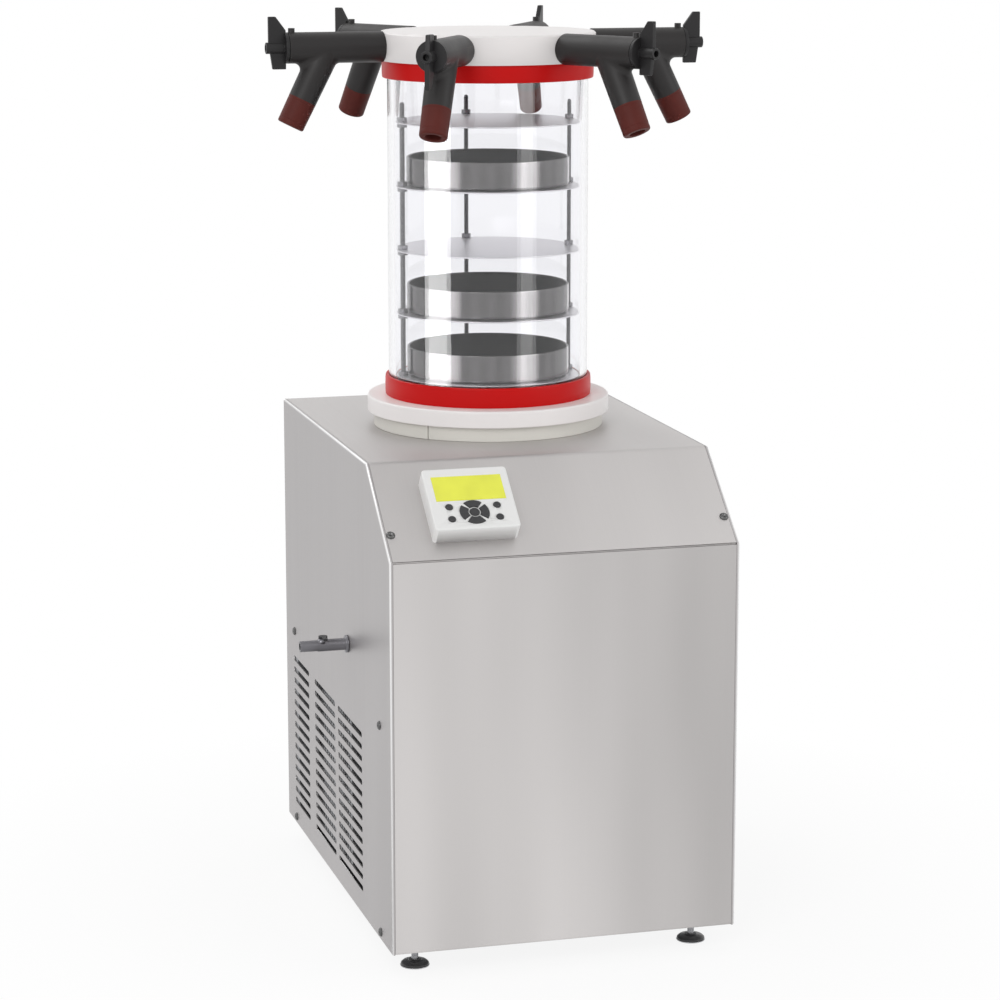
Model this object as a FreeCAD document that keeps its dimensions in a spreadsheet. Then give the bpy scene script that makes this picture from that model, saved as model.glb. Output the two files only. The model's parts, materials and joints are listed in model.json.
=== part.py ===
import FreeCAD, Part
import math
import os
import Sketcher

# Floor-standing laboratory freeze dryer: a sheet-steel cabinet with a sloped
# control panel, an ice condenser pot, a clear drying chamber with a tray rack,
# and a six-valve manifold lid. Origin on the floor under the cabinet's middle,
# +Z up, front towards -Y. All lengths in millimetres, all angles in degrees.

doc = FreeCAD.newDocument("freeze_dryer")

# ---------------------------------------------------------------- dimensions

DIMENSIONS = {
    # cabinet
    "cabinet_width": 400,
    "cabinet_depth": 560,
    "cabinet_height": 533,
    "front_height": 443,
    "slope_run": 112,
    "foot_height": 29,
    "sheet_gauge": 1.5,
    "edge_bend": 3,
    "edge_return": 3.9,
    "fold_bend": 12,
    "panel_gap": 0.3,
    "seam_gap": 3,
    "panel_lip": 14,
    "tray_lip": 20,
    # frame, feet and screws
    "upright_size": 20,
    "upright_spread": 456,
    "upright_headroom": 39.7,
    "foot_inset_x": 37,
    "foot_inset_y": 45,
    "foot_pad_radius": 16.5,
    "foot_pad_height": 6,
    "foot_stud_radius": 4,
    "foot_stud_reach": 12,
    "foot_hex_radius": 7.5,
    "foot_hex_height": 5,
    "screw_head_radius": 5,
    "screw_head_height": 2.2,
    "screw_shank_radius": 2.2,
    "screw_length": 8,
    "side_screw_low": 39.5,
    "side_screw_high": 278.5,
    "slope_screw_rise": 39,
    "slope_screw_edge": 9,
    "hood_tab_width": 14,
    "hood_tab_length": 30,
    # side vents
    "vent_rows": 14,
    "vent_pitch": 14,
    "vent_bottom": 61.5,
    "vent_slot_height": 6.4,
    "vent_rear_end": 234,
    "vent_rear_length": 88,
    "vent_rear_web": 34,
    "vent_middle_length": 112,
    "vent_front_web": 16,
    "vent_front_length": 124,
    # rear grille and fittings
    "grille_rows": 9,
    "grille_pitch": 16,
    "grille_slot_height": 6,
    "grille_slot_length": 140,
    "grille_bottom": 110,
    "grille_offset": -60,
    "inlet_inset": 80,
    "inlet_level": 92,
    "inlet_width": 50,
    "inlet_height": 78,
    "inlet_plate": 3,
    "inlet_body_depth": 26,
    "inlet_body_margin": 5,
    "socket_width": 24,
    "socket_height": 16,
    "socket_depth": 16,
    "socket_level": -16,
    "socket_pin": 2.2,
    "socket_pin_reach": 8,
    "socket_pin_spread": 7,
    "rocker_width": 22,
    "rocker_height": 13,
    "rocker_level": 20,
    "rocker_face": 3,
    "rocker_back": 5,
    "rocker_tilt": 8,
    "rocker_pivot_depth": 2,
    "rocker_well_depth": 9,
    "rocker_pin_length": 1.5,
    "rocker_pin_clearance": 0.05,
    "rocker_clearance": 0.8,
    "rocker_pin_radius": 1.5,
    # drain
    "drain_offset_y": -72,
    "drain_drop": 31,
    "drain_radius": 6.3,
    "drain_bore": 4,
    "drain_reach": 56,
    "drain_hose_length": 20.5,
    "drain_body_radius": 6.9,
    "drain_flange_radius": 10,
    "drain_flange": 3,
    "drain_tail": 12,
    "drain_cock_out": 29,
    "cock_boss_radius": 5.5,
    "cock_boss_height": 8,
    "cock_stem_radius": 2.5,
    "cock_stem_depth": 3,
    "cock_knob_radius": 5.2,
    "cock_knob_height": 3,
    "cock_lever_length": 15,
    "cock_lever_width": 4.5,
    "drain_pipe_radius": 5,
    "drain_pipe_wall": 1,
    "drain_pipe_bend": 20,
    "drain_pipe_drop": 26,
    # controller on the slope
    "controller_inset": 101.5,
    "controller_rise": 25,
    "controller_width": 96,
    "controller_height": 86,
    "controller_thickness": 22,
    "controller_corner": 4,
    "controller_edge": 1.6,
    "window_width": 79,
    "window_height": 35,
    "window_rise": 39.5,
    "window_thickness": 1.6,
    "window_proud": 0.3,
    "key_clearance": 0.35,
    "key_travel": 0.8,
    "key_stop_gap": 0.3,
    "key_proud": 1.3,
    "key_length": 5,
    "round_key_radius": 4.2,
    "round_key_spread": 54,
    "round_key_low": 14,
    "round_key_high": 31,
    "pad_rise": 22.5,
    "pad_radius": 16.5,
    "pad_inner_radius": 7.4,
    "pad_key_sweep": 74,
    "pad_sweep_clearance": 4,
    "centre_key_radius": 5.4,
    # chamber base
    "chamber_y": 50,
    "trim_setback": 7.3,
    "trim_bore_gap": 5.5,
    "trim_height": 17,
    "disc_ledge": 21,
    "disc_bore_step": 13,
    "disc_height": 19.5,
    "disc_round": 2.5,
    "trim_seam_angle": 44,
    "trim_seam_width": 1,
    "flange_clearance": 0.3,
    "pot_step": 1,
    "pot_wall": 1.5,
    "pot_flange_lap": 8,
    "pot_flange": 2,
    "pot_depth": 214,
    "pot_corner": 12,
    "vacuum_port_radius": 8,
    "vacuum_port_wall": 1.5,
    "vacuum_port_drop": 51,
    "vacuum_port_proud": 8,
    "vacuum_flange_radius": 15,
    "vacuum_flange": 3,
    "jacket_gap": 0.3,
    "jacket_wall": 5,
    "jacket_rise": 10,
    "jacket_height": 137,
    # drying chamber
    "tube_radius": 117,
    "tube_wall": 8,
    "tube_length": 382,
    "seal_floor": 4,
    "seal_fit": 0.2,
    "seal_lip": 3.8,
    "seal_lip_height": 9.5,
    "lower_seal_wall": 4.1,
    "lower_seal_height": 23,
    "upper_seal_wall": 5.8,
    "upper_seal_height": 20,
    "seal_round": 1.2,
    "lid_overhang": 2.3,
    "lid_thickness": 33,
    "lid_chamfer": 2,
    "lid_spigot_gap": 0.6,
    "lid_spigot_height": 8,
    "lid_spigot_wall": 12.4,
    "lid_recess_depth": 14,
    "port_radius": 8.3,
    # manifold valves
    "valve_radius": 17.7,
    "valve_length": 110.7,
    "valve_seat_gap": 0.2,
    "valve_spigot_gap": 0.15,
    "valve_spigot_length": 25.3,
    "valve_bore": 8,
    "valve_bore_start": 24.7,
    "valve_passage": 5,
    "valve_pitch_angle": 60,
    "branch_distance": 64.7,
    "branch_angle": 26.6,
    "branch_top_radius": 17.3,
    "branch_tip_radius": 15.9,
    "branch_length": 99,
    "sleeve_length": 33,
    "sleeve_neck_radius": 12.5,
    "sleeve_neck_length": 14,
    "sleeve_neck_gap": 0.15,
    "outlet_bore": 9,
    "outlet_lip": 1.5,
    "branch_fillet": 7,
    "index_nub_setback": 4.5,
    "index_nub_radius": 3.8,
    "index_nub_height": 4.6,
    # valve plugs
    "plug_gap": 0.4,
    "plug_flange": 4,
    "plug_hub_radius": 6.5,
    "plug_hub_length": 21.1,
    "plug_clearance": 0.06,
    "plug_stem_length": 30,
    "plug_hole_radius": 3.6,
    "plug_hole_depth": 9,
    "fin_thickness": 5.4,
    "fin_top": 35.5,
    "fin_top_length": 8.5,
    "fin_shoulder": 20,
    "fin_root_length": 18.5,
    "fin_drop": 24,
    "fin_setback": 3,
    # shelf rack and trays
    "rod_radius": 3,
    "rod_inset": 8,
    "rod_top_above": 22.4,
    "shelf_count": 5,
    "shelf_rise": 24.3,
    "shelf_pitch": 74,
    "shelf_gap": 2,
    "shelf_thickness": 1.5,
    "rod_hole_gap": 0.15,
    "nut_across_flats": 10,
    "nut_height": 5,
    "tray_rod_gap": 6,
    "tray_height": 33,
    "tray_wall": 1.2,
    "tray_corner": 4,
    # refrigeration
    "compressor_radius": 62,
    "compressor_height": 168,
    "compressor_dome": 30,
    "compressor_inset": 122,
    "compressor_y": 90,
    "compressor_foot": 8,
    "compressor_foot_radius": 74,
    "coil_block_depth": 30,
    "coil_block_gap": 6,
    "coil_block_width": 200,
    "coil_block_y": 45,
    "coil_block_height": 216,
    "fin_slots": 17,
    "fin_slot_width": 4,
    "fin_slot_pitch": 11,
    "fin_slot_depth": 9,
    "fan_radius": 78,
    "fan_opening_gap": 4,
    "fan_hub_radius": 20,
    "fan_hub_length": 24,
    "fan_blades": 5,
    "fan_blade_thickness": 2.2,
    "fan_blade_chord": 30,
    "fan_blade_pitch": 34,
    "fan_shaft_radius": 3,
    "fan_shaft_clearance": 0.05,
    "fan_shaft_depth": 12,
    "fan_standoff": 6,
}

# Heights and places that follow from the dimensions above.
LAYOUT = {
    # cabinet
    "half_width": "=Sizes.cabinet_width / 2",
    "half_depth": "=Sizes.cabinet_depth / 2",
    "hood_top": "=Sizes.foot_height + Sizes.cabinet_height",
    "slope_bottom": "=Sizes.foot_height + Sizes.front_height",
    "slope_angle": "=atan2(Sizes.cabinet_height - Sizes.front_height; Sizes.slope_run)",
    "bay_half_width": "=half_width - Sizes.edge_return - Sizes.panel_gap",
    "tray_floor": "=Sizes.foot_height + Sizes.sheet_gauge + Sizes.panel_gap",
    "frame_foot": "=tray_floor + Sizes.sheet_gauge",
    "upright_height": "=slope_bottom - frame_foot - Sizes.upright_headroom",
    "upright_centre": "=half_width - Sizes.sheet_gauge - Sizes.panel_gap - Sizes.upright_size / 2",
    "vent_front_end": "=Sizes.vent_rear_end - Sizes.vent_rear_length - Sizes.vent_rear_web"
                      " - Sizes.vent_middle_length - Sizes.vent_front_web - Sizes.vent_front_length",
    # chamber: radii outward from the tube
    "tube_bore": "=Sizes.tube_radius - Sizes.tube_wall",
    "seal_inner": "=tube_bore - Sizes.seal_fit - Sizes.seal_lip",
    "lower_seal_radius": "=Sizes.tube_radius + Sizes.seal_fit + Sizes.lower_seal_wall",
    "upper_seal_radius": "=Sizes.tube_radius + Sizes.seal_fit + Sizes.upper_seal_wall",
    "lid_radius": "=upper_seal_radius + Sizes.lid_overhang",
    "lid_recess_radius": "=seal_inner - Sizes.lid_spigot_gap - Sizes.lid_spigot_wall",
    "disc_radius": "=lower_seal_radius + Sizes.disc_ledge",
    "disc_bore": "=tube_bore - Sizes.disc_bore_step",
    "pot_radius": "=disc_bore + Sizes.pot_step",
    "pot_outer": "=pot_radius + Sizes.pot_wall",
    "trim_radius": "=disc_radius - Sizes.trim_setback",
    "trim_bore": "=pot_outer + Sizes.trim_bore_gap",
    "pot_flange_radius": "=trim_bore + Sizes.pot_flange_lap",
    "rod_circle": "=tube_bore - Sizes.rod_inset",
    "shelf_radius": "=tube_bore - Sizes.shelf_gap",
    "tray_radius": "=rod_circle - Sizes.tray_rod_gap",
    # chamber: heights from the floor
    "disc_base": "=hood_top + Sizes.trim_height",
    "seal_base": "=disc_base + Sizes.disc_height",
    "tube_base": "=seal_base + Sizes.seal_floor",
    "tube_top": "=tube_base + Sizes.tube_length",
    "lid_base": "=tube_top + Sizes.seal_floor",
    "shelf_first": "=seal_base + Sizes.shelf_rise",
    "shelf_last": "=shelf_first + (Sizes.shelf_count - 1) * Sizes.shelf_pitch",
    "rack_top": "=shelf_last + Sizes.rod_top_above",
    "pot_top": "=disc_base + Sizes.pot_flange",
    "pot_floor": "=disc_base - Sizes.pot_depth",
    "vacuum_port_level": "=pot_top - Sizes.vacuum_port_drop",
    "jacket_bottom": "=pot_floor + Sizes.jacket_rise",
    "jacket_top": "=jacket_bottom + Sizes.jacket_height",
    "drain_level": "=pot_floor - Sizes.drain_drop",
    # valves: distances from the chamber's axis
    "valve_level": "=lid_base + Sizes.lid_thickness / 2",
    "valve_reach": "=lid_radius + Sizes.valve_length",
    "valve_spigot_inner": "=lid_radius - Sizes.valve_spigot_length",
    "valve_bore_end": "=lid_radius + Sizes.valve_bore_start",
    "branch_position": "=lid_radius + Sizes.branch_distance",
    "branch_body": "=Sizes.branch_length - Sizes.sleeve_length",
    "branch_mouth": "=Sizes.branch_top_radius - (Sizes.branch_top_radius - Sizes.branch_tip_radius)"
                    " * branch_body / Sizes.branch_length",
    "index_nub_position": "=valve_reach - Sizes.index_nub_setback",
    "plug_face": "=valve_reach + Sizes.plug_gap",
    "plug_reach": "=plug_face + Sizes.plug_flange + Sizes.plug_hub_length",
    # controller
    "controller_centre": "=Sizes.controller_inset - half_width",
    "pad_level": "=Sizes.controller_rise + Sizes.pad_rise",
    "well_depth": "=Sizes.key_length - Sizes.key_proud + Sizes.key_travel + Sizes.key_stop_gap",
    "key_base": "=Sizes.controller_thickness + Sizes.key_proud - Sizes.key_length",
    # refrigeration and inlet
    "compressor_x": "=half_width - Sizes.compressor_inset",
    "block_outer": "=half_width - Sizes.sheet_gauge - Sizes.coil_block_gap",
    "block_inner": "=block_outer - Sizes.coil_block_depth",
    "fan_centre": "=block_inner - Sizes.fan_standoff - Sizes.fan_hub_length / 2",
    "fan_level": "=frame_foot + Sizes.coil_block_height / 2",
    "inlet_offset": "=half_width - Sizes.inlet_inset",
    "inlet_face": "=half_depth + Sizes.inlet_plate",
}


def fill_sheet(name, cells):
    """A spreadsheet with one aliased cell per named value."""
    sheet = doc.addObject("Spreadsheet::Sheet", name)
    for row, (alias, value) in enumerate(cells.items(), start=1):
        sheet.set(f"A{row}", alias)
        sheet.set(f"B{row}", str(value))
        sheet.setAlias(f"B{row}", alias)
    return sheet


sizes = fill_sheet("Sizes", DIMENSIONS)
layout = fill_sheet("Layout", LAYOUT)
doc.recompute()


def value(name):
    """The present number behind a name in either sheet."""
    source = sizes if name in DIMENSIONS else layout
    number = source.get(name)
    return float(getattr(number, "Value", number))


subparts = []


def subpart(obj, label):
    """Record an object as one exported piece."""
    obj.Label = label
    subparts.append(obj)
    return obj


# ------------------------------------------------------------------- helpers

X_AXIS = FreeCAD.Vector(1, 0, 0)
Y_AXIS = FreeCAD.Vector(0, 1, 0)
Z_AXIS = FreeCAD.Vector(0, 0, 1)
TOLERANCE = 1e-4
START_RADIUS = 60


def tie(obj, formulas):
    """Bind properties of an object to formulas over the sheets."""
    for prop, formula in formulas.items():
        obj.setExpression(prop, formula)


def new_body(label):
    """An exported PartDesign body."""
    return subpart(doc.addObject("PartDesign::Body", label), label)


def origin_element(body, role):
    """One of the body's own base planes or axes."""
    return next(f for f in body.Origin.OriginFeatures if f.Role == role)


def new_sketch(body, plane, offset=None, turn=None):
    """A sketch on one of the body's base planes, shifted or turned if asked."""
    sketch = body.newObject("Sketcher::SketchObject", body.Label + "_sketch")
    sketch.AttachmentSupport = [(origin_element(body, plane), "")]
    sketch.MapMode = "FlatFace"
    if turn:
        axis, angle = turn
        sketch.AttachmentOffset = FreeCAD.Placement(FreeCAD.Vector(), FreeCAD.Rotation(axis, 45))
        tie(sketch, {"AttachmentOffset.Rotation.Angle": angle})
    for letter, formula in (offset or {}).items():
        tie(sketch, {f"AttachmentOffset.Base.{letter}": formula})
    return sketch


def pin_point(sketch, geometry, point, start, place):
    """Hold one point of a sketch at two formulas from the sketch's origin."""
    first = sketch.ConstraintCount
    sketch.addConstraint([
        Sketcher.Constraint("DistanceX", -1, 1, geometry, point, start.x),
        Sketcher.Constraint("DistanceY", -1, 1, geometry, point, start.y),
    ])
    tie(sketch, {f"Constraints[{first}]": place[0], f"Constraints[{first + 1}]": place[1]})


def polygon(sketch, corners):
    """A closed outline through corners given as pairs of formulas."""
    count = len(corners)
    first = sketch.GeometryCount
    turns = [2 * math.pi * i / count + 0.3 for i in range(count)]
    starts = [FreeCAD.Vector(math.cos(turn), math.sin(turn), 0) * START_RADIUS for turn in turns]
    for i in range(count):
        sketch.addGeometry(Part.LineSegment(starts[i], starts[(i + 1) % count]))
    for i in range(count):
        sketch.addConstraint(Sketcher.Constraint("Coincident", first + i, 2, first + (i + 1) % count, 1))
    for i, place in enumerate(corners):
        pin_point(sketch, first + i, 1, starts[i], place)


def rectangle(sketch, left, right, low, high):
    """An upright rectangle between four formulas."""
    polygon(sketch, [(left, low), (right, low), (right, high), (left, high)])


def circle(sketch, across, up, radius):
    """A circle with its centre and radius held by formulas."""
    start = FreeCAD.Vector(7, 5, 0)
    index = sketch.addGeometry(Part.Circle(start, Z_AXIS, 4))
    pin_point(sketch, index, 3, start, (across, up))
    radius_index = sketch.addConstraint(Sketcher.Constraint("Radius", index, 4))
    tie(sketch, {f"Constraints[{radius_index}]": radius})


def slot(sketch, left, right, level, height):
    """A lying slot with round ends, from its left tip to its right tip."""
    reach = 20
    ends = []
    for side, formula in ((-1, f"{left} + {height} / 2"), (1, f"{right} - {height} / 2")):
        centre = FreeCAD.Vector(side * reach, 3, 0)
        opening = math.pi / 2 if side < 0 else -math.pi / 2
        arc = Part.ArcOfCircle(Part.Circle(centre, Z_AXIS, 2), opening, opening + math.pi)
        index = sketch.addGeometry(arc)
        pin_point(sketch, index, 3, centre, (formula, level))
        ends.append(index)
    rear, front = ends
    top = sketch.addGeometry(Part.LineSegment(FreeCAD.Vector(reach, 5, 0), FreeCAD.Vector(-reach, 5, 0)))
    low = sketch.addGeometry(Part.LineSegment(FreeCAD.Vector(-reach, 1, 0), FreeCAD.Vector(reach, 1, 0)))
    sketch.addConstraint([
        Sketcher.Constraint("Tangent", front, 2, top, 1),
        Sketcher.Constraint("Tangent", top, 2, rear, 1),
        Sketcher.Constraint("Tangent", rear, 2, low, 1),
        Sketcher.Constraint("Tangent", low, 2, front, 1),
        Sketcher.Constraint("Equal", rear, front),
    ])
    radius_index = sketch.addConstraint(Sketcher.Constraint("Radius", rear, 2))
    tie(sketch, {f"Constraints[{radius_index}]": f"{height} / 2"})


def pad(body, sketch, length, reverse=False, middle=False):
    """Extrude a sketch by a formula."""
    feature = body.newObject("PartDesign::Pad", body.Label + "_pad")
    feature.Profile = sketch
    feature.Reversed = reverse
    feature.Midplane = middle
    tie(feature, {"Length": length})
    return feature


def pocket(body, sketch, depth, reverse=False, middle=False):
    """Cut a sketch into the body by a formula, and make sure that it bites."""
    doc.recompute()
    before = body.Tip.Shape.Volume
    feature = body.newObject("PartDesign::Pocket", body.Label + "_pocket")
    feature.Profile = sketch
    feature.Reversed = reverse
    feature.Midplane = middle
    tie(feature, {"Length": depth})
    doc.recompute()
    if feature.Shape.Volume > before - TOLERANCE:
        raise RuntimeError(f"{body.Label}: a pocket cut nothing")
    return feature


def revolve(body, sketch, axis="V_Axis", angle="360", middle=False):
    """Turn a sketch about one of its own axes."""
    feature = body.newObject("PartDesign::Revolution", body.Label + "_revolution")
    feature.Profile = sketch
    feature.ReferenceAxis = (sketch, [axis])
    feature.Midplane = middle
    tie(feature, {"Angle": angle})
    return feature


def groove(body, sketch, axis="V_Axis"):
    """Cut by turning a sketch about one of its own axes."""
    doc.recompute()
    before = body.Tip.Shape.Volume
    feature = body.newObject("PartDesign::Groove", body.Label + "_groove")
    feature.Profile = sketch
    feature.ReferenceAxis = (sketch, [axis])
    feature.Angle = 360
    doc.recompute()
    if feature.Shape.Volume > before - TOLERANCE:
        raise RuntimeError(f"{body.Label}: a groove cut nothing")
    return feature


def polar(body, features, axis, count):
    """Repeat features evenly about one of the body's axes."""
    pattern = body.newObject("PartDesign::PolarPattern", body.Label + "_pattern")
    pattern.Originals = features
    pattern.Axis = (origin_element(body, axis), [""])
    pattern.Angle = 360
    pattern.Occurrences = count
    body.Tip = pattern
    return pattern


def linear(body, features, sketch, axis, length, count):
    """Repeat features in a row along one of a sketch's axes."""
    pattern = body.newObject("PartDesign::LinearPattern", body.Label + "_pattern")
    pattern.Originals = features
    pattern.Direction = (sketch, [axis])
    tie(pattern, {"Length": length, "Occurrences": count})
    body.Tip = pattern
    return pattern


def dress(body, kind, size_property, formula, test):
    """Fillet or chamfer the edges of the body's last feature that pass a test."""
    doc.recompute()
    base = body.Tip
    names = [f"Edge{i}" for i, edge in enumerate(base.Shape.Edges, start=1) if test(edge)]
    if not names:
        raise RuntimeError(f"{body.Label}: no edge to dress")
    feature = body.newObject(f"PartDesign::{kind}", f"{body.Label}_{kind.lower()}")
    feature.Base = (base, names)
    tie(feature, {size_property: formula})
    return feature


def fillet(body, radius, test):
    """Round the edges that pass a test."""
    return dress(body, "Fillet", "Radius", radius, test)


def near(first, second):
    """Whether two lengths are the same to a hundredth of a millimetre."""
    return abs(first - second) < 0.01


def is_circle_at(level, radius):
    """A test for a level round edge at one height and radius."""
    def test(edge):
        curve = edge.Curve
        return isinstance(curve, Part.Circle) and near(curve.Radius, radius) and near(curve.Center.z, level)
    return test


def shell(body, gauge, face_test):
    """Hollow the body to a sheet, open at the faces that pass a test."""
    doc.recompute()
    base = body.Tip
    names = [f"Face{i}" for i, face in enumerate(base.Shape.Faces, start=1) if face_test(face)]
    feature = body.newObject("PartDesign::Thickness", body.Label + "_thickness")
    feature.Base = (base, names)
    feature.Reversed = True
    tie(feature, {"Value": gauge})
    return feature


def place(obj, across="0", deep="0", high="0"):
    """Bind where an object stands."""
    tie(obj, {"Placement.Base.x": across, "Placement.Base.y": deep, "Placement.Base.z": high})


def turned(label, corners, across="0", deep="0", high="0"):
    """A piece turned about its own upright axis from a half section."""
    body = new_body(label)
    sketch = new_sketch(body, "XZ_Plane")
    polygon(sketch, corners)
    revolve(body, sketch)
    place(body, across, deep, high)
    return body


def on_slope(body):
    """Stand a body on the sloped panel: X across, Y up the slope, Z out of it."""
    body.Placement = FreeCAD.Placement(FreeCAD.Vector(), FreeCAD.Rotation(X_AXIS, 45))
    tie(body, {"Placement.Rotation.Angle": "Layout.slope_angle"})
    place(body, deep="-Layout.half_depth", high="Layout.slope_bottom")


def slope_point(rise, depth):
    """Formulas for the depth and height of a point under the sloped panel."""
    deep = f"-Layout.half_depth + ({rise}) * cos(Layout.slope_angle) + ({depth}) * sin(Layout.slope_angle)"
    high = f"Layout.slope_bottom + ({rise}) * sin(Layout.slope_angle) - ({depth}) * cos(Layout.slope_angle)"
    return deep, high


def grouped(label, copies):
    """One node of separate equal solids, from shapes already in place."""
    group = doc.addObject("Part::Feature", label)
    group.Shape = Part.makeCompound(copies)
    return subpart(group, label)


def moved(shape, across=0, deep=0, high=0, rotation=None):
    """A copy of a shape, turned and then carried to a place."""
    copy = shape.copy()
    copy.Placement = FreeCAD.Placement(FreeCAD.Vector(across, deep, high), rotation or FreeCAD.Rotation())
    return copy


# ------------------------------------------------------------ cabinet panels

SIDES = {"left": -1, "right": 1}


def build_side_panel(name, side):
    """A folded side sheet that follows the slope, with returns all round."""
    body = new_body(f"{name}_side_panel")
    outline = new_sketch(body, "YZ_Plane")
    polygon(outline, [
        ("-Layout.half_depth", "Sizes.foot_height"),
        ("Layout.half_depth", "Sizes.foot_height"),
        ("Layout.half_depth", "Layout.hood_top"),
        ("-Layout.half_depth + Sizes.slope_run", "Layout.hood_top"),
        ("-Layout.half_depth", "Layout.slope_bottom"),
    ])
    inward = side > 0
    pad(body, outline, "Sizes.edge_return", reverse=inward)
    fillet(body, "Sizes.edge_bend", lambda edge: near(edge.BoundBox.XMin, 0) and near(edge.BoundBox.XMax, 0))
    inner = -side * value("edge_return")
    shell(body, "Sizes.sheet_gauge",
          lambda face: near(face.BoundBox.XMin, inner) and near(face.BoundBox.XMax, inner))
    add_hood_tab(body, side)
    holes = new_sketch(body, "YZ_Plane")
    for deep in ("-Sizes.upright_spread / 2", "Sizes.upright_spread / 2"):
        for high in ("Sizes.side_screw_low", "Sizes.side_screw_high"):
            circle(holes, deep, high, "Sizes.screw_shank_radius + Sizes.rod_hole_gap")
    pocket(body, holes, "2 * Sizes.sheet_gauge", middle=True)
    place(body, across=f"{side} * Layout.half_width")
    return body


def add_hood_tab(body, side):
    """The welded tab under the slope that takes the hood's screw."""
    tab = new_sketch(body, "YZ_Plane", offset={"z": f"{-side} * Sizes.sheet_gauge / 2"})
    low = "Sizes.slope_screw_rise - Sizes.hood_tab_length / 2"
    high = "Sizes.slope_screw_rise + Sizes.hood_tab_length / 2"
    upper = "Sizes.sheet_gauge + Sizes.panel_gap"
    lower = "2 * Sizes.sheet_gauge + Sizes.panel_gap"
    polygon(tab, [slope_point(low, upper), slope_point(high, upper),
                  slope_point(high, lower), slope_point(low, lower)])
    pad(body, tab, "Sizes.hood_tab_width", reverse=side > 0)


side_panels = {name: build_side_panel(name, side) for name, side in SIDES.items()}


def cut_vents(body):
    """Rows of three slots through the left side sheet."""
    row = new_sketch(body, "YZ_Plane")
    level = "Sizes.vent_bottom"
    height = "Sizes.vent_slot_height"
    rear_start = "Sizes.vent_rear_end - Sizes.vent_rear_length"
    middle_end = f"{rear_start} - Sizes.vent_rear_web"
    middle_start = f"{middle_end} - Sizes.vent_middle_length"
    front_end = f"{middle_start} - Sizes.vent_front_web"
    slot(row, rear_start, "Sizes.vent_rear_end", level, height)
    slot(row, middle_start, middle_end, level, height)
    slot(row, "Layout.vent_front_end", front_end, level, height)
    cut = pocket(body, row, "2 * Sizes.sheet_gauge", middle=True)
    linear(body, [cut], row, "V_Axis", "(Sizes.vent_rows - 1) * Sizes.vent_pitch", "Sizes.vent_rows")


def cut_drain_hole(body):
    """The hole that the drain fitting passes through."""
    hole = new_sketch(body, "YZ_Plane")
    circle(hole, "Sizes.drain_offset_y", "Layout.drain_level", "Sizes.drain_body_radius + Sizes.panel_gap")
    pocket(body, hole, "2 * Sizes.sheet_gauge", middle=True)


cut_drain_hole(side_panels["left"])
cut_vents(side_panels["left"])


def build_hood():
    """Top and sloped panel in one folded sheet, with the pot's round opening."""
    body = new_body("hood")
    section = new_sketch(body, "YZ_Plane")
    fold = "-Layout.half_depth + Sizes.slope_run"
    start = "Sizes.seam_gap / 2"
    polygon(section, [
        ("Layout.half_depth - Sizes.panel_gap", "Layout.hood_top"),
        (fold, "Layout.hood_top"),
        slope_point(start, "0"),
        slope_point(start, "Sizes.panel_lip"),
        slope_point(f"{start} + Sizes.sheet_gauge", "Sizes.panel_lip"),
        slope_point(f"{start} + Sizes.sheet_gauge", "Sizes.sheet_gauge"),
        (f"{fold} + Sizes.sheet_gauge * tan(Layout.slope_angle / 2)", "Layout.hood_top - Sizes.sheet_gauge"),
        ("Layout.half_depth - Sizes.panel_gap", "Layout.hood_top - Sizes.sheet_gauge"),
    ])
    pad(body, section, "2 * Layout.bay_half_width", middle=True)
    fold_deep = value("slope_run") - value("half_depth")

    def outer_fold(edge):
        return near(edge.BoundBox.ZMin, value("hood_top")) and near(edge.BoundBox.YMax, fold_deep) \
            and near(edge.BoundBox.YMin, fold_deep)

    def inner_fold(edge):
        level = value("hood_top") - value("sheet_gauge")
        straight = edge.BoundBox.XLength > value("cabinet_width") / 2
        return straight and near(edge.BoundBox.ZMax, level) and edge.BoundBox.YMax < 0

    fillet(body, "Sizes.fold_bend", outer_fold)
    fillet(body, "Sizes.fold_bend - Sizes.sheet_gauge", inner_fold)
    opening = new_sketch(body, "XY_Plane", offset={"z": "Layout.hood_top"})
    circle(opening, "0", "Sizes.chamber_y", "Layout.trim_bore")
    pocket(body, opening, "2 * Sizes.sheet_gauge")
    return body


hood = build_hood()


def drill_slope(body):
    """Screw holes through the sloped panel near its side edges."""
    plane_offset = {"y": "Layout.slope_bottom", "z": "Layout.half_depth"}
    holes = new_sketch(body, "XZ_Plane", offset=plane_offset, turn=(-X_AXIS, "90 deg - Layout.slope_angle"))
    for side in SIDES.values():
        across = f"{side} * (Layout.half_width - Sizes.slope_screw_edge)"
        circle(holes, across, "Sizes.slope_screw_rise", "Sizes.screw_shank_radius + Sizes.rod_hole_gap")
    pocket(body, holes, "2 * Sizes.sheet_gauge", middle=True)


drill_slope(hood)
for panel in side_panels.values():
    panel_tab_offset = "Layout.half_width" if panel is side_panels["left"] else "-Layout.half_width"
    tab_plane = {"x": panel_tab_offset, "y": "Layout.slope_bottom", "z": "Layout.half_depth"}
    tab_hole = new_sketch(panel, "XZ_Plane", offset=tab_plane, turn=(-X_AXIS, "90 deg - Layout.slope_angle"))
    side = -1 if panel is side_panels["left"] else 1
    circle(tab_hole, f"{side} * (Layout.half_width - Sizes.slope_screw_edge)", "Sizes.slope_screw_rise",
           "Sizes.screw_shank_radius + Sizes.rod_hole_gap")
    pocket(panel, tab_hole, "6 * Sizes.sheet_gauge", middle=True)


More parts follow.
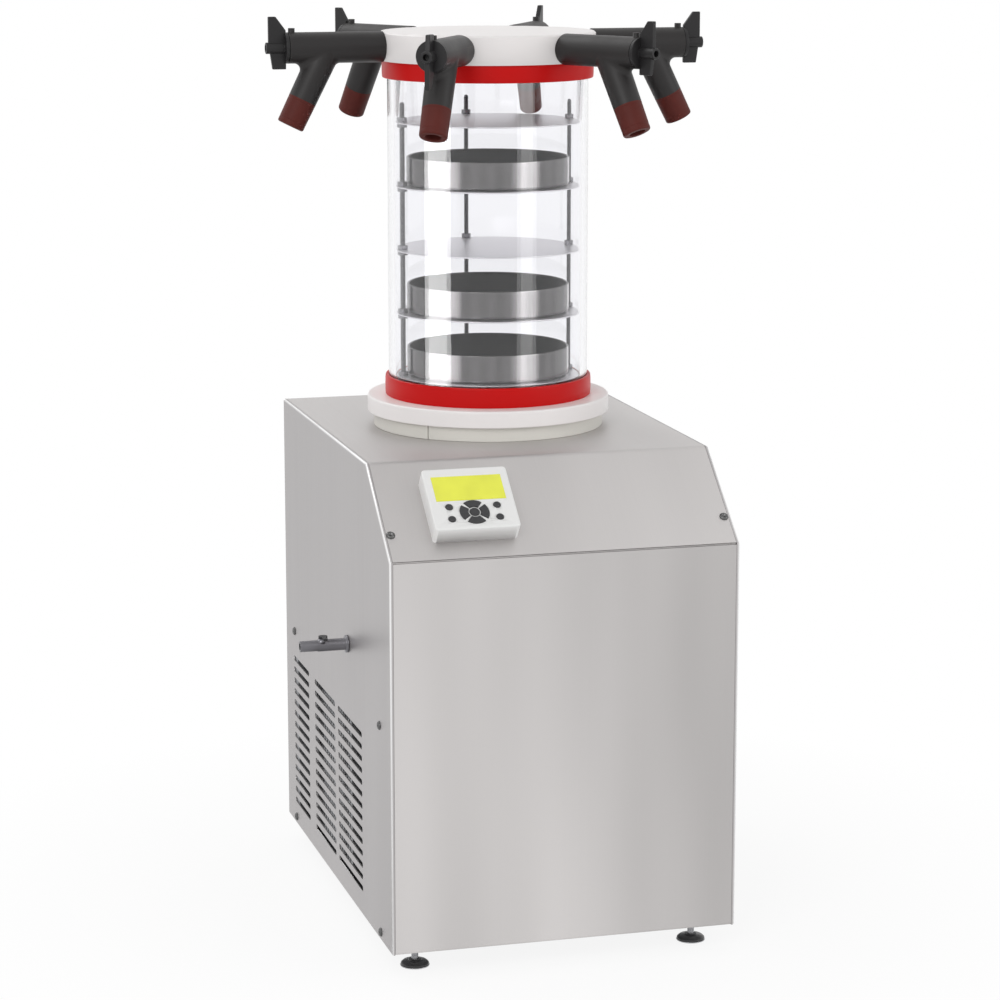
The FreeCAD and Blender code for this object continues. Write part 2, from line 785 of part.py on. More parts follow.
def build_end_panel(name, side):
    """The flat front or rear sheet with a lip folded in under the cabinet."""
    body = new_body(f"{name}_panel")
    section = new_sketch(body, "YZ_Plane")
    outer = f"{side} * Layout.half_depth"
    inner = f"{side} * (Layout.half_depth - Sizes.sheet_gauge)"
    lip = f"{side} * (Layout.half_depth - Sizes.panel_lip)"
    top = "Layout.slope_bottom - Sizes.seam_gap / 2"
    if side > 0:
        top = "Layout.hood_top - Sizes.sheet_gauge - Sizes.panel_gap"
    polygon(section, [
        (outer, "Sizes.foot_height"), (outer, top), (inner, top),
        (inner, "Sizes.foot_height + Sizes.sheet_gauge"), (lip, "Sizes.foot_height + Sizes.sheet_gauge"),
        (lip, "Sizes.foot_height"),
    ])
    pad(body, section, "2 * Layout.bay_half_width", middle=True)

    def low_outer_edge(edge):
        box = edge.BoundBox
        return near(box.ZMax, value("foot_height")) and near(box.YMax, side * value("half_depth")) \
            and near(box.YMin, side * value("half_depth"))

    fillet(body, "Sizes.edge_bend", low_outer_edge)
    return body


front_panel = build_end_panel("front", -1)
rear_panel = build_end_panel("rear", 1)


def cut_rear_panel(body):
    """Inlet cut-out, vacuum port hole and the grille's slots in the rear sheet."""
    rear = {"z": "-Layout.half_depth"}
    cut_outs = new_sketch(body, "XZ_Plane", offset=rear)
    half_width = "(Sizes.inlet_width / 2 - Sizes.inlet_body_margin + Sizes.panel_gap)"
    half_height = "(Sizes.inlet_height / 2 - Sizes.inlet_body_margin + Sizes.panel_gap)"
    rectangle(cut_outs, f"Layout.inlet_offset - {half_width}", f"Layout.inlet_offset + {half_width}",
              f"Sizes.inlet_level - {half_height}", f"Sizes.inlet_level + {half_height}")
    circle(cut_outs, "0", "Layout.vacuum_port_level",
           "Sizes.vacuum_port_radius + Sizes.vacuum_port_wall + Sizes.panel_gap")
    pocket(body, cut_outs, "4 * Sizes.sheet_gauge", middle=True)
    row = new_sketch(body, "XZ_Plane", offset=rear)
    half_slot = "Sizes.grille_slot_length / 2"
    slot(row, f"Sizes.grille_offset - {half_slot}", f"Sizes.grille_offset + {half_slot}",
         "Sizes.grille_bottom", "Sizes.grille_slot_height")
    cut = pocket(body, row, "4 * Sizes.sheet_gauge", middle=True)
    linear(body, [cut], row, "V_Axis", "(Sizes.grille_rows - 1) * Sizes.grille_pitch", "Sizes.grille_rows")


cut_rear_panel(rear_panel)


def build_chassis_tray():
    """The base tray with upturned lips along its front and rear."""
    body = new_body("chassis_tray")
    section = new_sketch(body, "YZ_Plane")
    outer = "(Layout.half_depth - Sizes.sheet_gauge - Sizes.panel_gap)"
    inner = f"({outer} - Sizes.sheet_gauge)"
    low = "Layout.tray_floor"
    floor = "Layout.frame_foot"
    lip = "Layout.tray_floor + Sizes.tray_lip"
    polygon(section, [
        (f"-{outer}", low), (outer, low), (outer, lip), (inner, lip),
        (inner, floor), (f"-{inner}", floor), (f"-{inner}", lip), (f"-{outer}", lip),
    ])
    pad(body, section, "2 * (Layout.half_width - Sizes.edge_bend - Sizes.panel_gap)", middle=True)
    holes = new_sketch(body, "XY_Plane", offset={"z": "Layout.frame_foot"})
    for side_x in (-1, 1):
        for side_y in (-1, 1):
            circle(holes, f"{side_x} * (Layout.half_width - Sizes.foot_inset_x)",
                   f"{side_y} * (Layout.half_depth - Sizes.foot_inset_y)",
                   "Sizes.foot_stud_radius + Sizes.rod_hole_gap")
    pocket(body, holes, "2 * Sizes.sheet_gauge")
    return body


chassis_tray = build_chassis_tray()

CORNERS = [(side_x, side_y) for side_x in (-1, 1) for side_y in (-1, 1)]


def build_uprights():
    """Four square tubes, drilled for the side screws."""
    size = value("upright_size")
    gauge = value("sheet_gauge")
    height = value("upright_height")
    drill = value("screw_shank_radius") + value("rod_hole_gap")
    foot = value("frame_foot")
    copies = []
    for side_x, side_y in CORNERS:
        tube = Part.makeBox(size, size, height, FreeCAD.Vector(-size / 2, -size / 2, 0))
        inside = size - 2 * gauge
        tube = tube.cut(Part.makeBox(inside, inside, height, FreeCAD.Vector(-inside / 2, -inside / 2, 0)))
        for level in ("side_screw_low", "side_screw_high"):
            start = FreeCAD.Vector(side_x * size, 0, value(level) - foot)
            tube = tube.cut(Part.makeCylinder(drill, size, start, FreeCAD.Vector(-side_x, 0, 0)))
        across = side_x * value("upright_centre")
        copies.append(moved(tube, across, side_y * value("upright_spread") / 2, foot))
    return grouped("frame_uprights", copies)


frame_uprights = build_uprights()


def half_section(points):
    """A solid turned about Z from a closed half section of (radius, height)."""
    corners = [FreeCAD.Vector(radius, 0, height) for radius, height in points]
    face = Part.Face(Part.makePolygon(corners + corners[:1]))
    return face.revolve(FreeCAD.Vector(), Z_AXIS, 360)


def build_screws():
    """Pan-head screws on the cabinet's sides and on the sloped panel."""
    head = value("screw_head_radius")
    height = value("screw_head_height")
    shank = value("screw_shank_radius")
    length = value("screw_length")
    screw = half_section([
        (0, -length), (shank, -length), (shank, 0), (head, 0),
        (head, height * 0.35), (head * 0.72, height), (0, height),
    ])
    cross = Part.makeBox(head, shank * 0.5, height, FreeCAD.Vector(-head / 2, -shank * 0.25, height * 0.45))
    for angle in (0, 90):
        arm = cross.copy()
        arm.rotate(FreeCAD.Vector(), Z_AXIS, angle)
        screw = screw.cut(arm)
    copies = []
    for side_x, side_y in CORNERS:
        for level in ("side_screw_low", "side_screw_high"):
            turn = FreeCAD.Rotation(Y_AXIS, 90 * side_x)
            across = side_x * value("half_width")
            copies.append(moved(screw, across, side_y * value("upright_spread") / 2, value(level), turn))
    angle = value("slope_angle")
    rise = value("slope_screw_rise")
    deep = -value("half_depth") + rise * math.cos(math.radians(angle))
    high = value("slope_bottom") + rise * math.sin(math.radians(angle))
    for side_x in (-1, 1):
        across = side_x * (value("half_width") - value("slope_screw_edge"))
        copies.append(moved(screw, across, deep, high, FreeCAD.Rotation(X_AXIS, angle)))
    return grouped("panel_screws", copies)


panel_screws = build_screws()


def hexagon(across_flats, height, turn=0):
    """A hexagonal prism on Z with two flats facing along X."""
    reach = across_flats / math.sqrt(3)
    corners = []
    for step in range(6):
        angle = math.radians(30 + 60 * step + turn)
        corners.append(FreeCAD.Vector(reach * math.cos(angle), reach * math.sin(angle), 0))
    return Part.Face(Part.makePolygon(corners + corners[:1])).extrude(FreeCAD.Vector(0, 0, height))


def build_feet():
    """Four levelling feet: pad, hexagon against the tray, and threaded stud."""
    pad_radius = value("foot_pad_radius")
    pad_height = value("foot_pad_height")
    stud = value("foot_stud_radius")
    floor = value("tray_floor")
    foot = half_section([
        (0, 0), (pad_radius, 0), (pad_radius, pad_height * 0.6), (pad_radius * 0.8, pad_height),
        (stud, pad_height), (stud, floor + value("foot_stud_reach")), (0, floor + value("foot_stud_reach")),
    ])
    nut = hexagon(2 * value("foot_hex_radius"), value("foot_hex_height"))
    nut.translate(FreeCAD.Vector(0, 0, floor - value("foot_hex_height")))
    foot = foot.fuse(nut)
    copies = []
    for side_x, side_y in CORNERS:
        across = side_x * (value("half_width") - value("foot_inset_x"))
        copies.append(moved(foot, across, side_y * (value("half_depth") - value("foot_inset_y"))))
    return grouped("levelling_feet", copies)


levelling_feet = build_feet()

# --------------------------------------------------------------------- drain


def build_drain_nozzle():
    """The nozzle through the left side, with the cock's boss on top."""
    body = new_body("drain_nozzle")
    section = new_sketch(body, "XZ_Plane")
    step = "-Sizes.drain_reach + Sizes.drain_hose_length"
    polygon(section, [
        ("-Sizes.drain_reach", "Sizes.drain_bore"), ("-Sizes.drain_reach", "Sizes.drain_radius"),
        (step, "Sizes.drain_radius"), (step, "Sizes.drain_body_radius"),
        ("-Sizes.drain_flange", "Sizes.drain_body_radius"),
        ("-Sizes.drain_flange", "Sizes.drain_flange_radius"),
        ("0", "Sizes.drain_flange_radius"), ("0", "Sizes.drain_body_radius"),
        ("Sizes.drain_tail", "Sizes.drain_body_radius"), ("Sizes.drain_tail", "Sizes.drain_bore"),
    ])
    revolve(body, section, "H_Axis")
    boss = new_sketch(body, "XY_Plane", offset={"z": "Sizes.drain_bore + Sizes.cock_stem_depth / 4"})
    circle(boss, "-Sizes.drain_cock_out", "0", "Sizes.cock_boss_radius")
    pad(body, boss, "Sizes.cock_boss_height - Sizes.drain_bore - Sizes.cock_stem_depth / 4")
    seat = new_sketch(body, "XY_Plane", offset={"z": "Sizes.cock_boss_height"})
    circle(seat, "-Sizes.drain_cock_out", "0", "Sizes.cock_stem_radius + Sizes.plug_clearance")
    pocket(body, seat, "Sizes.cock_stem_depth + Sizes.panel_gap / 2")
    place(body, "-Layout.half_width", "Sizes.drain_offset_y", "Layout.drain_level")
    return body


drain_nozzle = build_drain_nozzle()


def build_cock_lever():
    """The small knob and lever that open the drain."""
    body = new_body("drain_cock_lever")
    section = new_sketch(body, "XZ_Plane")
    polygon(section, [
        ("0", "-Sizes.cock_stem_depth"), ("Sizes.cock_stem_radius", "-Sizes.cock_stem_depth"),
        ("Sizes.cock_stem_radius", "Sizes.panel_gap"), ("Sizes.cock_knob_radius", "Sizes.panel_gap"),
        ("Sizes.cock_knob_radius", "Sizes.cock_knob_height"), ("0", "Sizes.cock_knob_height"),
    ])
    revolve(body, section)
    arm = new_sketch(body, "XY_Plane", offset={"z": "Sizes.panel_gap"})
    half_arm = "Sizes.cock_lever_width / 2"
    rectangle(arm, f"-{half_arm}", half_arm, "-Sizes.cock_lever_length", "0")
    pad(body, arm, "Sizes.cock_knob_height - Sizes.panel_gap")
    place(body, "-Layout.half_width - Sizes.drain_cock_out", "Sizes.drain_offset_y",
          "Layout.drain_level + Sizes.cock_boss_height")
    return body


drain_cock_lever = build_cock_lever()


def build_drain_pipe():
    """The bent pipe from the pot's floor to the nozzle's tail."""
    radius = value("drain_pipe_radius")
    bend = value("drain_pipe_bend")
    level = value("drain_level")
    chamber = value("chamber_y")
    offset = value("drain_offset_y")
    top = value("pot_floor")
    end = -value("half_width") + value("drain_tail")
    drop = FreeCAD.Vector(0, chamber, top)
    first = FreeCAD.Vector(0, chamber, level + bend)
    second = FreeCAD.Vector(0, chamber - bend, level)
    third = FreeCAD.Vector(0, offset + bend, level)
    fourth = FreeCAD.Vector(-bend, offset, level)
    last = FreeCAD.Vector(end, offset, level)
    share = bend * (1 - math.sqrt(0.5))
    middle_down = FreeCAD.Vector(0, chamber - share, level + share)
    middle_turn = FreeCAD.Vector(-share, offset + share, level)
    edges = []
    if top > level + bend:
        edges.append(Part.LineSegment(drop, first).toShape())
    edges.append(Part.Arc(first, middle_down, second).toShape())
    edges.append(Part.LineSegment(second, third).toShape())
    edges.append(Part.Arc(third, middle_turn, fourth).toShape())
    edges.append(Part.LineSegment(fourth, last).toShape())
    path = Part.Wire(edges)
    outer = path.makePipeShell([Part.Wire(Part.makeCircle(radius, drop, Z_AXIS))], True, True)
    bore = radius - value("drain_pipe_wall")
    inner = path.makePipeShell([Part.Wire(Part.makeCircle(bore, drop, Z_AXIS))], True, True)
    pipe = doc.addObject("Part::Feature", "drain_pipe")
    pipe.Shape = outer.cut(inner)
    return subpart(pipe, "drain_pipe")


drain_pipe = build_drain_pipe()

# ---------------------------------------------------------------- controller


def on_pad(body, depth="0", across="0"):
    """Stand a body on the sloped panel with its origin under the key pad's centre."""
    body.Placement = FreeCAD.Placement(FreeCAD.Vector(), FreeCAD.Rotation(X_AXIS, 45))
    tie(body, {"Placement.Rotation.Angle": "Layout.slope_angle"})
    deep, high = slope_point("Layout.pad_level", depth)
    place(body, f"Layout.controller_centre + {across}", deep, high)


KEY_GAP = "Sizes.key_clearance"
ROUND_KEYS = [(side, row) for row in ("round_key_low", "round_key_high") for side in (-1, 1)]


def build_controller():
    """The controller's case with its window recess and key wells."""
    body = new_body("controller_housing")
    outline = new_sketch(body, "XY_Plane")
    low = "-Sizes.pad_rise"
    rectangle(outline, "-Sizes.controller_width / 2", "Sizes.controller_width / 2",
              low, "Sizes.controller_height - Sizes.pad_rise")
    pad(body, outline, "Sizes.controller_thickness")
    thickness = value("controller_thickness")
    fillet(body, "Sizes.controller_corner", lambda edge: near(edge.BoundBox.ZLength, thickness))
    fillet(body, "Sizes.controller_edge",
           lambda edge: near(edge.BoundBox.ZMin, thickness) and near(edge.BoundBox.ZMax, thickness))
    face = {"z": "Sizes.controller_thickness"}
    recess = new_sketch(body, "XY_Plane", offset=face)
    rectangle(recess, "-Sizes.window_width / 2", "Sizes.window_width / 2",
              "Sizes.window_rise - Sizes.pad_rise",
              "Sizes.window_rise - Sizes.pad_rise + Sizes.window_height")
    pocket(body, recess, "Sizes.window_thickness - Sizes.window_proud")
    wells = new_sketch(body, "XY_Plane", offset=face)
    for side, row in ROUND_KEYS:
        circle(wells, f"{side} * Sizes.round_key_spread / 2", f"Sizes.{row} - Sizes.pad_rise",
               f"Sizes.round_key_radius + {KEY_GAP}")
    circle(wells, "0", "0", f"Sizes.centre_key_radius + {KEY_GAP}")
    pocket(body, wells, "Layout.well_depth")
    arc = new_sketch(body, "YZ_Plane")
    rectangle(arc, f"Sizes.pad_inner_radius - {KEY_GAP}", f"Sizes.pad_radius + {KEY_GAP}",
              "Sizes.controller_thickness - Layout.well_depth", "Sizes.controller_thickness")
    doc.recompute()
    before = body.Tip.Shape.Volume
    cut = body.newObject("PartDesign::Groove", "arc_well")
    cut.Profile = arc
    cut.ReferenceAxis = (arc, ["V_Axis"])
    cut.Midplane = True
    tie(cut, {"Angle": "Sizes.pad_key_sweep + Sizes.pad_sweep_clearance"})
    polar(body, [cut], "Z_Axis", 4)
    doc.recompute()
    if body.Shape.Volume > before - TOLERANCE:
        raise RuntimeError("the arc wells cut nothing")
    on_pad(body)
    return body


controller_housing = build_controller()


def build_window():
    """The display's window, lying in its recess."""
    body = new_body("display_window")
    outline = new_sketch(body, "XY_Plane")
    gap = "Sizes.panel_gap / 2"
    rectangle(outline, f"-Sizes.window_width / 2 + {gap}", f"Sizes.window_width / 2 - {gap}",
              f"Sizes.window_rise - Sizes.pad_rise + {gap}",
              f"Sizes.window_rise - Sizes.pad_rise + Sizes.window_height - {gap}")
    pad(body, outline, "Sizes.window_thickness")
    on_pad(body, depth="-(Sizes.controller_thickness + Sizes.window_proud - Sizes.window_thickness)")
    return body


display_window = build_window()
KEY_DEPTH = "-Layout.key_base"


def build_round_key(number, side, row):
    """One round key with a chamfered rim."""
    body = new_body(f"round_key_{number}")
    section = new_sketch(body, "XZ_Plane")
    rim = "Sizes.key_proud / 2"
    polygon(section, [
        ("0", "0"), ("Sizes.round_key_radius", "0"), ("Sizes.round_key_radius", f"Sizes.key_length - {rim}"),
        (f"Sizes.round_key_radius - {rim}", "Sizes.key_length"), ("0", "Sizes.key_length"),
    ])
    revolve(body, section)
    body.Placement = FreeCAD.Placement(FreeCAD.Vector(), FreeCAD.Rotation(X_AXIS, 45))
    tie(body, {"Placement.Rotation.Angle": "Layout.slope_angle"})
    deep, high = slope_point(f"Sizes.controller_rise + Sizes.{row}", KEY_DEPTH)
    place(body, f"Layout.controller_centre + {side} * Sizes.round_key_spread / 2", deep, high)
    return body


round_keys = [build_round_key(i, *spot) for i, spot in enumerate(ROUND_KEYS, start=1)]


def build_centre_key():
    """The round key in the middle of the pad."""
    body = new_body("centre_key")
    section = new_sketch(body, "XZ_Plane")
    rim = "Sizes.key_proud / 2"
    polygon(section, [
        ("0", "0"), ("Sizes.centre_key_radius", "0"),
        ("Sizes.centre_key_radius", f"Sizes.key_length - {rim}"),
        (f"Sizes.centre_key_radius - {rim}", "Sizes.key_length"), ("0", "Sizes.key_length"),
    ])
    revolve(body, section)
    on_pad(body, depth=KEY_DEPTH)
    return body


centre_key = build_centre_key()
ARC_KEYS = [("YZ_Plane", 1), ("XZ_Plane", 1), ("YZ_Plane", -1), ("XZ_Plane", -1)]


def build_arc_key(number, plane, side):
    """One quarter key of the pad, with its outer rim chamfered."""
    body = new_body(f"arc_key_{number}")
    section = new_sketch(body, plane)
    rim = "Sizes.key_proud / 2"
    polygon(section, [
        (f"{side} * Sizes.pad_inner_radius", "0"), (f"{side} * Sizes.pad_radius", "0"),
        (f"{side} * Sizes.pad_radius", f"Sizes.key_length - {rim}"),
        (f"{side} * (Sizes.pad_radius - {rim})", "Sizes.key_length"),
        (f"{side} * Sizes.pad_inner_radius", "Sizes.key_length"),
    ])
    revolve(body, section, angle="Sizes.pad_key_sweep", middle=True)
    on_pad(body, depth=KEY_DEPTH)
    return body


arc_keys = [build_arc_key(i, *spot) for i, spot in enumerate(ARC_KEYS, start=1)]

# -------------------------------------------------------------- chamber base


def at_chamber(label, corners):
    """A piece turned about the chamber's axis, with heights from the floor."""
    return turned(label, corners, deep="Sizes.chamber_y")


def build_trim_ring():
    """The white ring on the hood, with its joint line."""
    body = at_chamber("flange_trim_ring", [
        ("Layout.trim_bore", "Layout.hood_top"), ("Layout.trim_radius", "Layout.hood_top"),
        ("Layout.trim_radius", "Layout.disc_base"), ("Layout.trim_bore", "Layout.disc_base"),
    ])
    joint = new_sketch(body, "XZ_Plane", turn=None)
    joint.AttachmentSupport = [(origin_element(body, "XY_Plane"), "")]
    joint.AttachmentOffset = FreeCAD.Placement(FreeCAD.Vector(), FreeCAD.Rotation(Z_AXIS, 30))
    tie(joint, {
        "AttachmentOffset.Base.z": "Layout.disc_base",
        "AttachmentOffset.Rotation.Angle": "Sizes.trim_seam_angle",
    })
    rectangle(joint, "-Layout.trim_radius - 1", "-Layout.trim_radius + Sizes.trim_seam_width",
              "-Sizes.trim_seam_width / 2", "Sizes.trim_seam_width / 2")
    pocket(body, joint, "Sizes.trim_height")
    return body


flange_trim_ring = build_trim_ring()


def build_base_disc():
    """The heavy disc that clamps the pot's flange and carries the chamber."""
    rebate = "Layout.pot_flange_radius + Sizes.flange_clearance"
    body = at_chamber("base_disc", [
        (rebate, "Layout.disc_base"), ("Layout.disc_radius", "Layout.disc_base"),
        ("Layout.disc_radius", "Layout.seal_base"), ("Layout.disc_bore", "Layout.seal_base"),
        ("Layout.disc_bore", "Layout.pot_top"), (rebate, "Layout.pot_top"),
    ])
    doc.recompute()
    fillet(body, "Sizes.disc_round", is_circle_at(value("seal_base"), value("disc_radius")))
    return body


base_disc = build_base_disc()

LIP_INNER = "Layout.seal_inner"
LIP_OUTER = "Layout.tube_bore - Sizes.seal_fit"
WALL_INNER = "Sizes.tube_radius + Sizes.seal_fit"


def build_lower_seal():
    """The red gasket with a channel that the tube stands in."""
    outer = "Layout.lower_seal_radius"
    top = "Layout.seal_base + Sizes.lower_seal_height"
    lip = "Layout.seal_base + Sizes.seal_lip_height"
    body = at_chamber("lower_seal", [
        (LIP_INNER, "Layout.seal_base"), (outer, "Layout.seal_base"), (outer, top), (WALL_INNER, top),
        (WALL_INNER, "Layout.tube_base"), (LIP_OUTER, "Layout.tube_base"),
        (LIP_OUTER, lip), (LIP_INNER, lip),
    ])
    doc.recompute()
    fillet(body, "Sizes.seal_round", is_circle_at(value("seal_base") + value("lower_seal_height"),
                                                  value("lower_seal_radius")))
    return body


lower_seal = build_lower_seal()
chamber_tube = at_chamber("chamber_tube", [
    ("Layout.tube_bore", "Layout.tube_base"), ("Sizes.tube_radius", "Layout.tube_base"),
    ("Sizes.tube_radius", "Layout.tube_top"), ("Layout.tube_bore", "Layout.tube_top"),
])


def build_upper_seal():
    """The red gasket that caps the tube and carries the lid."""
    outer = "Layout.upper_seal_radius"
    low = "Layout.lid_base - Sizes.upper_seal_height"
    lip = "Layout.lid_base - Sizes.seal_lip_height"
    body = at_chamber("upper_seal", [
        (LIP_INNER, "Layout.lid_base"), (outer, "Layout.lid_base"), (outer, low), (WALL_INNER, low),
        (WALL_INNER, "Layout.tube_top"), (LIP_OUTER, "Layout.tube_top"), (LIP_OUTER, lip), (LIP_INNER, lip),
    ])
    doc.recompute()
    fillet(body, "Sizes.seal_round", is_circle_at(value("lid_base") - value("upper_seal_height"),
                                                  value("upper_seal_radius")))
    return body


upper_seal = build_upper_seal()


def build_lid():
    """The manifold lid, recessed below, with six ports round its rim."""
    spigot = "Layout.seal_inner - Sizes.lid_spigot_gap"
    low = "Layout.lid_base - Sizes.lid_spigot_height"
    top = "Layout.lid_base + Sizes.lid_thickness"
    ceiling = "Layout.lid_base + Sizes.lid_recess_depth"
    body = at_chamber("manifold_lid", [
        ("0", ceiling), ("Layout.lid_recess_radius", ceiling), ("Layout.lid_recess_radius", low),
        (spigot, low), (spigot, "Layout.lid_base"), ("Layout.lid_radius", "Layout.lid_base"),
        ("Layout.lid_radius", f"{top} - Sizes.lid_chamfer"), (f"Layout.lid_radius - Sizes.lid_chamfer", top),
        ("0", top),
    ])
    port = new_sketch(body, "YZ_Plane", offset={"z": "Layout.lid_radius"})
    circle(port, "0", "Layout.valve_level", "Sizes.port_radius")
    cut = pocket(body, port, "Layout.lid_radius - Layout.lid_recess_radius + 2 * Sizes.port_radius")
    polar(body, [cut], "Z_Axis", 6)
    return body


manifold_lid = build_lid()


def build_pot():
    """The deep-drawn condenser pot with its flange, drain hole and vacuum stub."""
    body = at_chamber("condenser_pot", [
        ("0", "Layout.pot_floor"), ("Layout.pot_outer", "Layout.pot_floor"),
        ("Layout.pot_outer", "Layout.disc_base"), ("Layout.pot_flange_radius", "Layout.disc_base"),
        ("Layout.pot_flange_radius", "Layout.pot_top"), ("Layout.pot_radius", "Layout.pot_top"),
        ("Layout.pot_radius", "Layout.pot_floor + Sizes.pot_wall"),
        ("0", "Layout.pot_floor + Sizes.pot_wall"),
    ])
    doc.recompute()
    floor = value("pot_floor")
    fillet(body, "Sizes.pot_corner", is_circle_at(floor, value("pot_outer")))
    inner_rim = is_circle_at(floor + value("pot_wall"), value("pot_radius"))
    fillet(body, "Sizes.pot_corner - Sizes.pot_wall", inner_rim)
    stub = new_sketch(body, "XZ_Plane", offset={"z": "-(Layout.pot_radius + Sizes.pot_wall / 2)"})
    circle(stub, "0", "Layout.vacuum_port_level", "Sizes.vacuum_port_radius + Sizes.vacuum_port_wall")
    reach = "Layout.half_depth + Sizes.vacuum_port_proud - Sizes.chamber_y"
    pad(body, stub, f"{reach} - Layout.pot_radius - Sizes.pot_wall / 2", reverse=True)
    flange = new_sketch(body, "XZ_Plane", offset={"z": f"-({reach})"})
    circle(flange, "0", "Layout.vacuum_port_level", "Sizes.vacuum_flange_radius")
    pad(body, flange, "Sizes.vacuum_flange")
    bore = new_sketch(body, "XZ_Plane", offset={"z": f"-({reach})"})
    circle(bore, "0", "Layout.vacuum_port_level", "Sizes.vacuum_port_radius")
    pocket(body, bore, f"{reach} - Layout.pot_radius + 2 * Sizes.pot_wall", reverse=True)
    drain = new_sketch(body, "XY_Plane", offset={"z": "Layout.pot_floor + Sizes.pot_wall"})
    circle(drain, "0", "0", "Sizes.drain_pipe_radius - Sizes.drain_pipe_wall")
    pocket(body, drain, "2 * Sizes.pot_wall")
    return body


condenser_pot = build_pot()
JACKET_INNER = "Layout.pot_outer + Sizes.jacket_gap"
cooling_jacket = at_chamber("cooling_jacket", [
    (JACKET_INNER, "Layout.jacket_bottom"), (f"{JACKET_INNER} + Sizes.jacket_wall", "Layout.jacket_bottom"),
    (f"{JACKET_INNER} + Sizes.jacket_wall", "Layout.jacket_top"), (JACKET_INNER, "Layout.jacket_top"),
])

# ------------------------------------------------------------ manifold valves

VALVE_STEPS = [3, -2, -1, 0, 1, 2]


def around(body, steps):
    """Stand a valve piece at its place round the lid, X pointing outward."""
    axis = Z_AXIS if steps >= 0 else -Z_AXIS
    body.Placement = FreeCAD.Placement(FreeCAD.Vector(), FreeCAD.Rotation(axis, 45))
    tie(body, {"Placement.Rotation.Angle": f"{abs(steps)} * Sizes.valve_pitch_angle"})
    place(body, deep="Sizes.chamber_y", high="Layout.valve_level")


def branch_sketch(body):
    """A sketch whose upright axis runs along the branch, with down as outward."""
    spot = {"x": "Layout.branch_position"}
    return new_sketch(body, "XZ_Plane", offset=spot, turn=(Z_AXIS, "Sizes.branch_angle"))


def build_valve_body(number, steps):
    """One valve: a barrel from the lid's rim, a spigot into it and a branch."""
    body = new_body(f"valve_body_{number}")
    seat = "Layout.lid_radius + Sizes.valve_seat_gap"
    barrel = new_sketch(body, "XZ_Plane")
    rectangle(barrel, "Layout.lid_radius - Sizes.port_radius", "Layout.valve_reach",
              "0", "Sizes.valve_radius")
    revolve(body, barrel, "H_Axis")
    rim = new_sketch(body, "XZ_Plane")
    rectangle(rim, "0", seat, "-Sizes.valve_radius - 1", "Sizes.valve_radius + 1")
    groove(body, rim)
    branch = branch_sketch(body)
    polygon(branch, [
        ("0", "0"), ("Sizes.branch_top_radius", "0"), ("Layout.branch_mouth", "-Layout.branch_body"),
        ("0", "-Layout.branch_body"),
    ])
    revolve(body, branch)
    doc.recompute()
    inner = value("lid_radius") + value("valve_radius")
    outer = value("valve_reach")

    def blend(edge):
        box = edge.BoundBox
        straight = isinstance(edge.Curve, (Part.Line, Part.Circle))
        between = box.XMin > inner and box.XMax < outer
        return not straight and between and box.ZMin > -value("branch_body") / 2

    fillet(body, "Sizes.branch_fillet", blend)
    spigot = new_sketch(body, "XZ_Plane")
    rectangle(spigot, "Layout.valve_spigot_inner", "Layout.lid_radius + Sizes.port_radius", "0",
              "Sizes.port_radius - Sizes.valve_spigot_gap")
    revolve(body, spigot, "H_Axis")
    nub = new_sketch(body, "XY_Plane", offset={"z": "Sizes.valve_bore + Sizes.index_nub_radius"})
    circle(nub, "Layout.index_nub_position", "0", "Sizes.index_nub_radius")
    pad(body, nub, "Sizes.valve_radius + Sizes.index_nub_height - Sizes.valve_bore - Sizes.index_nub_radius")
    passage = new_sketch(body, "XZ_Plane")
    polygon(passage, [
        ("Layout.valve_reach", "0"), ("Layout.valve_reach", "Sizes.valve_bore"),
        ("Layout.valve_bore_end", "Sizes.valve_bore"), ("Layout.valve_bore_end", "Sizes.valve_passage"),
        ("Layout.valve_spigot_inner", "Sizes.valve_passage"), ("Layout.valve_spigot_inner", "0"),
    ])
    groove(body, passage, "H_Axis")
    outlet = branch_sketch(body)
    socket = "Sizes.sleeve_neck_radius + Sizes.sleeve_neck_gap"
    step = "-Layout.branch_body + Sizes.sleeve_neck_length"
    polygon(outlet, [
        ("0", "0"), ("Sizes.valve_bore", "0"), ("Sizes.valve_bore", step), (socket, step),
        (socket, "-Layout.branch_body"), ("0", "-Layout.branch_body"),
    ])
    groove(body, outlet)
    around(body, steps)
    return body


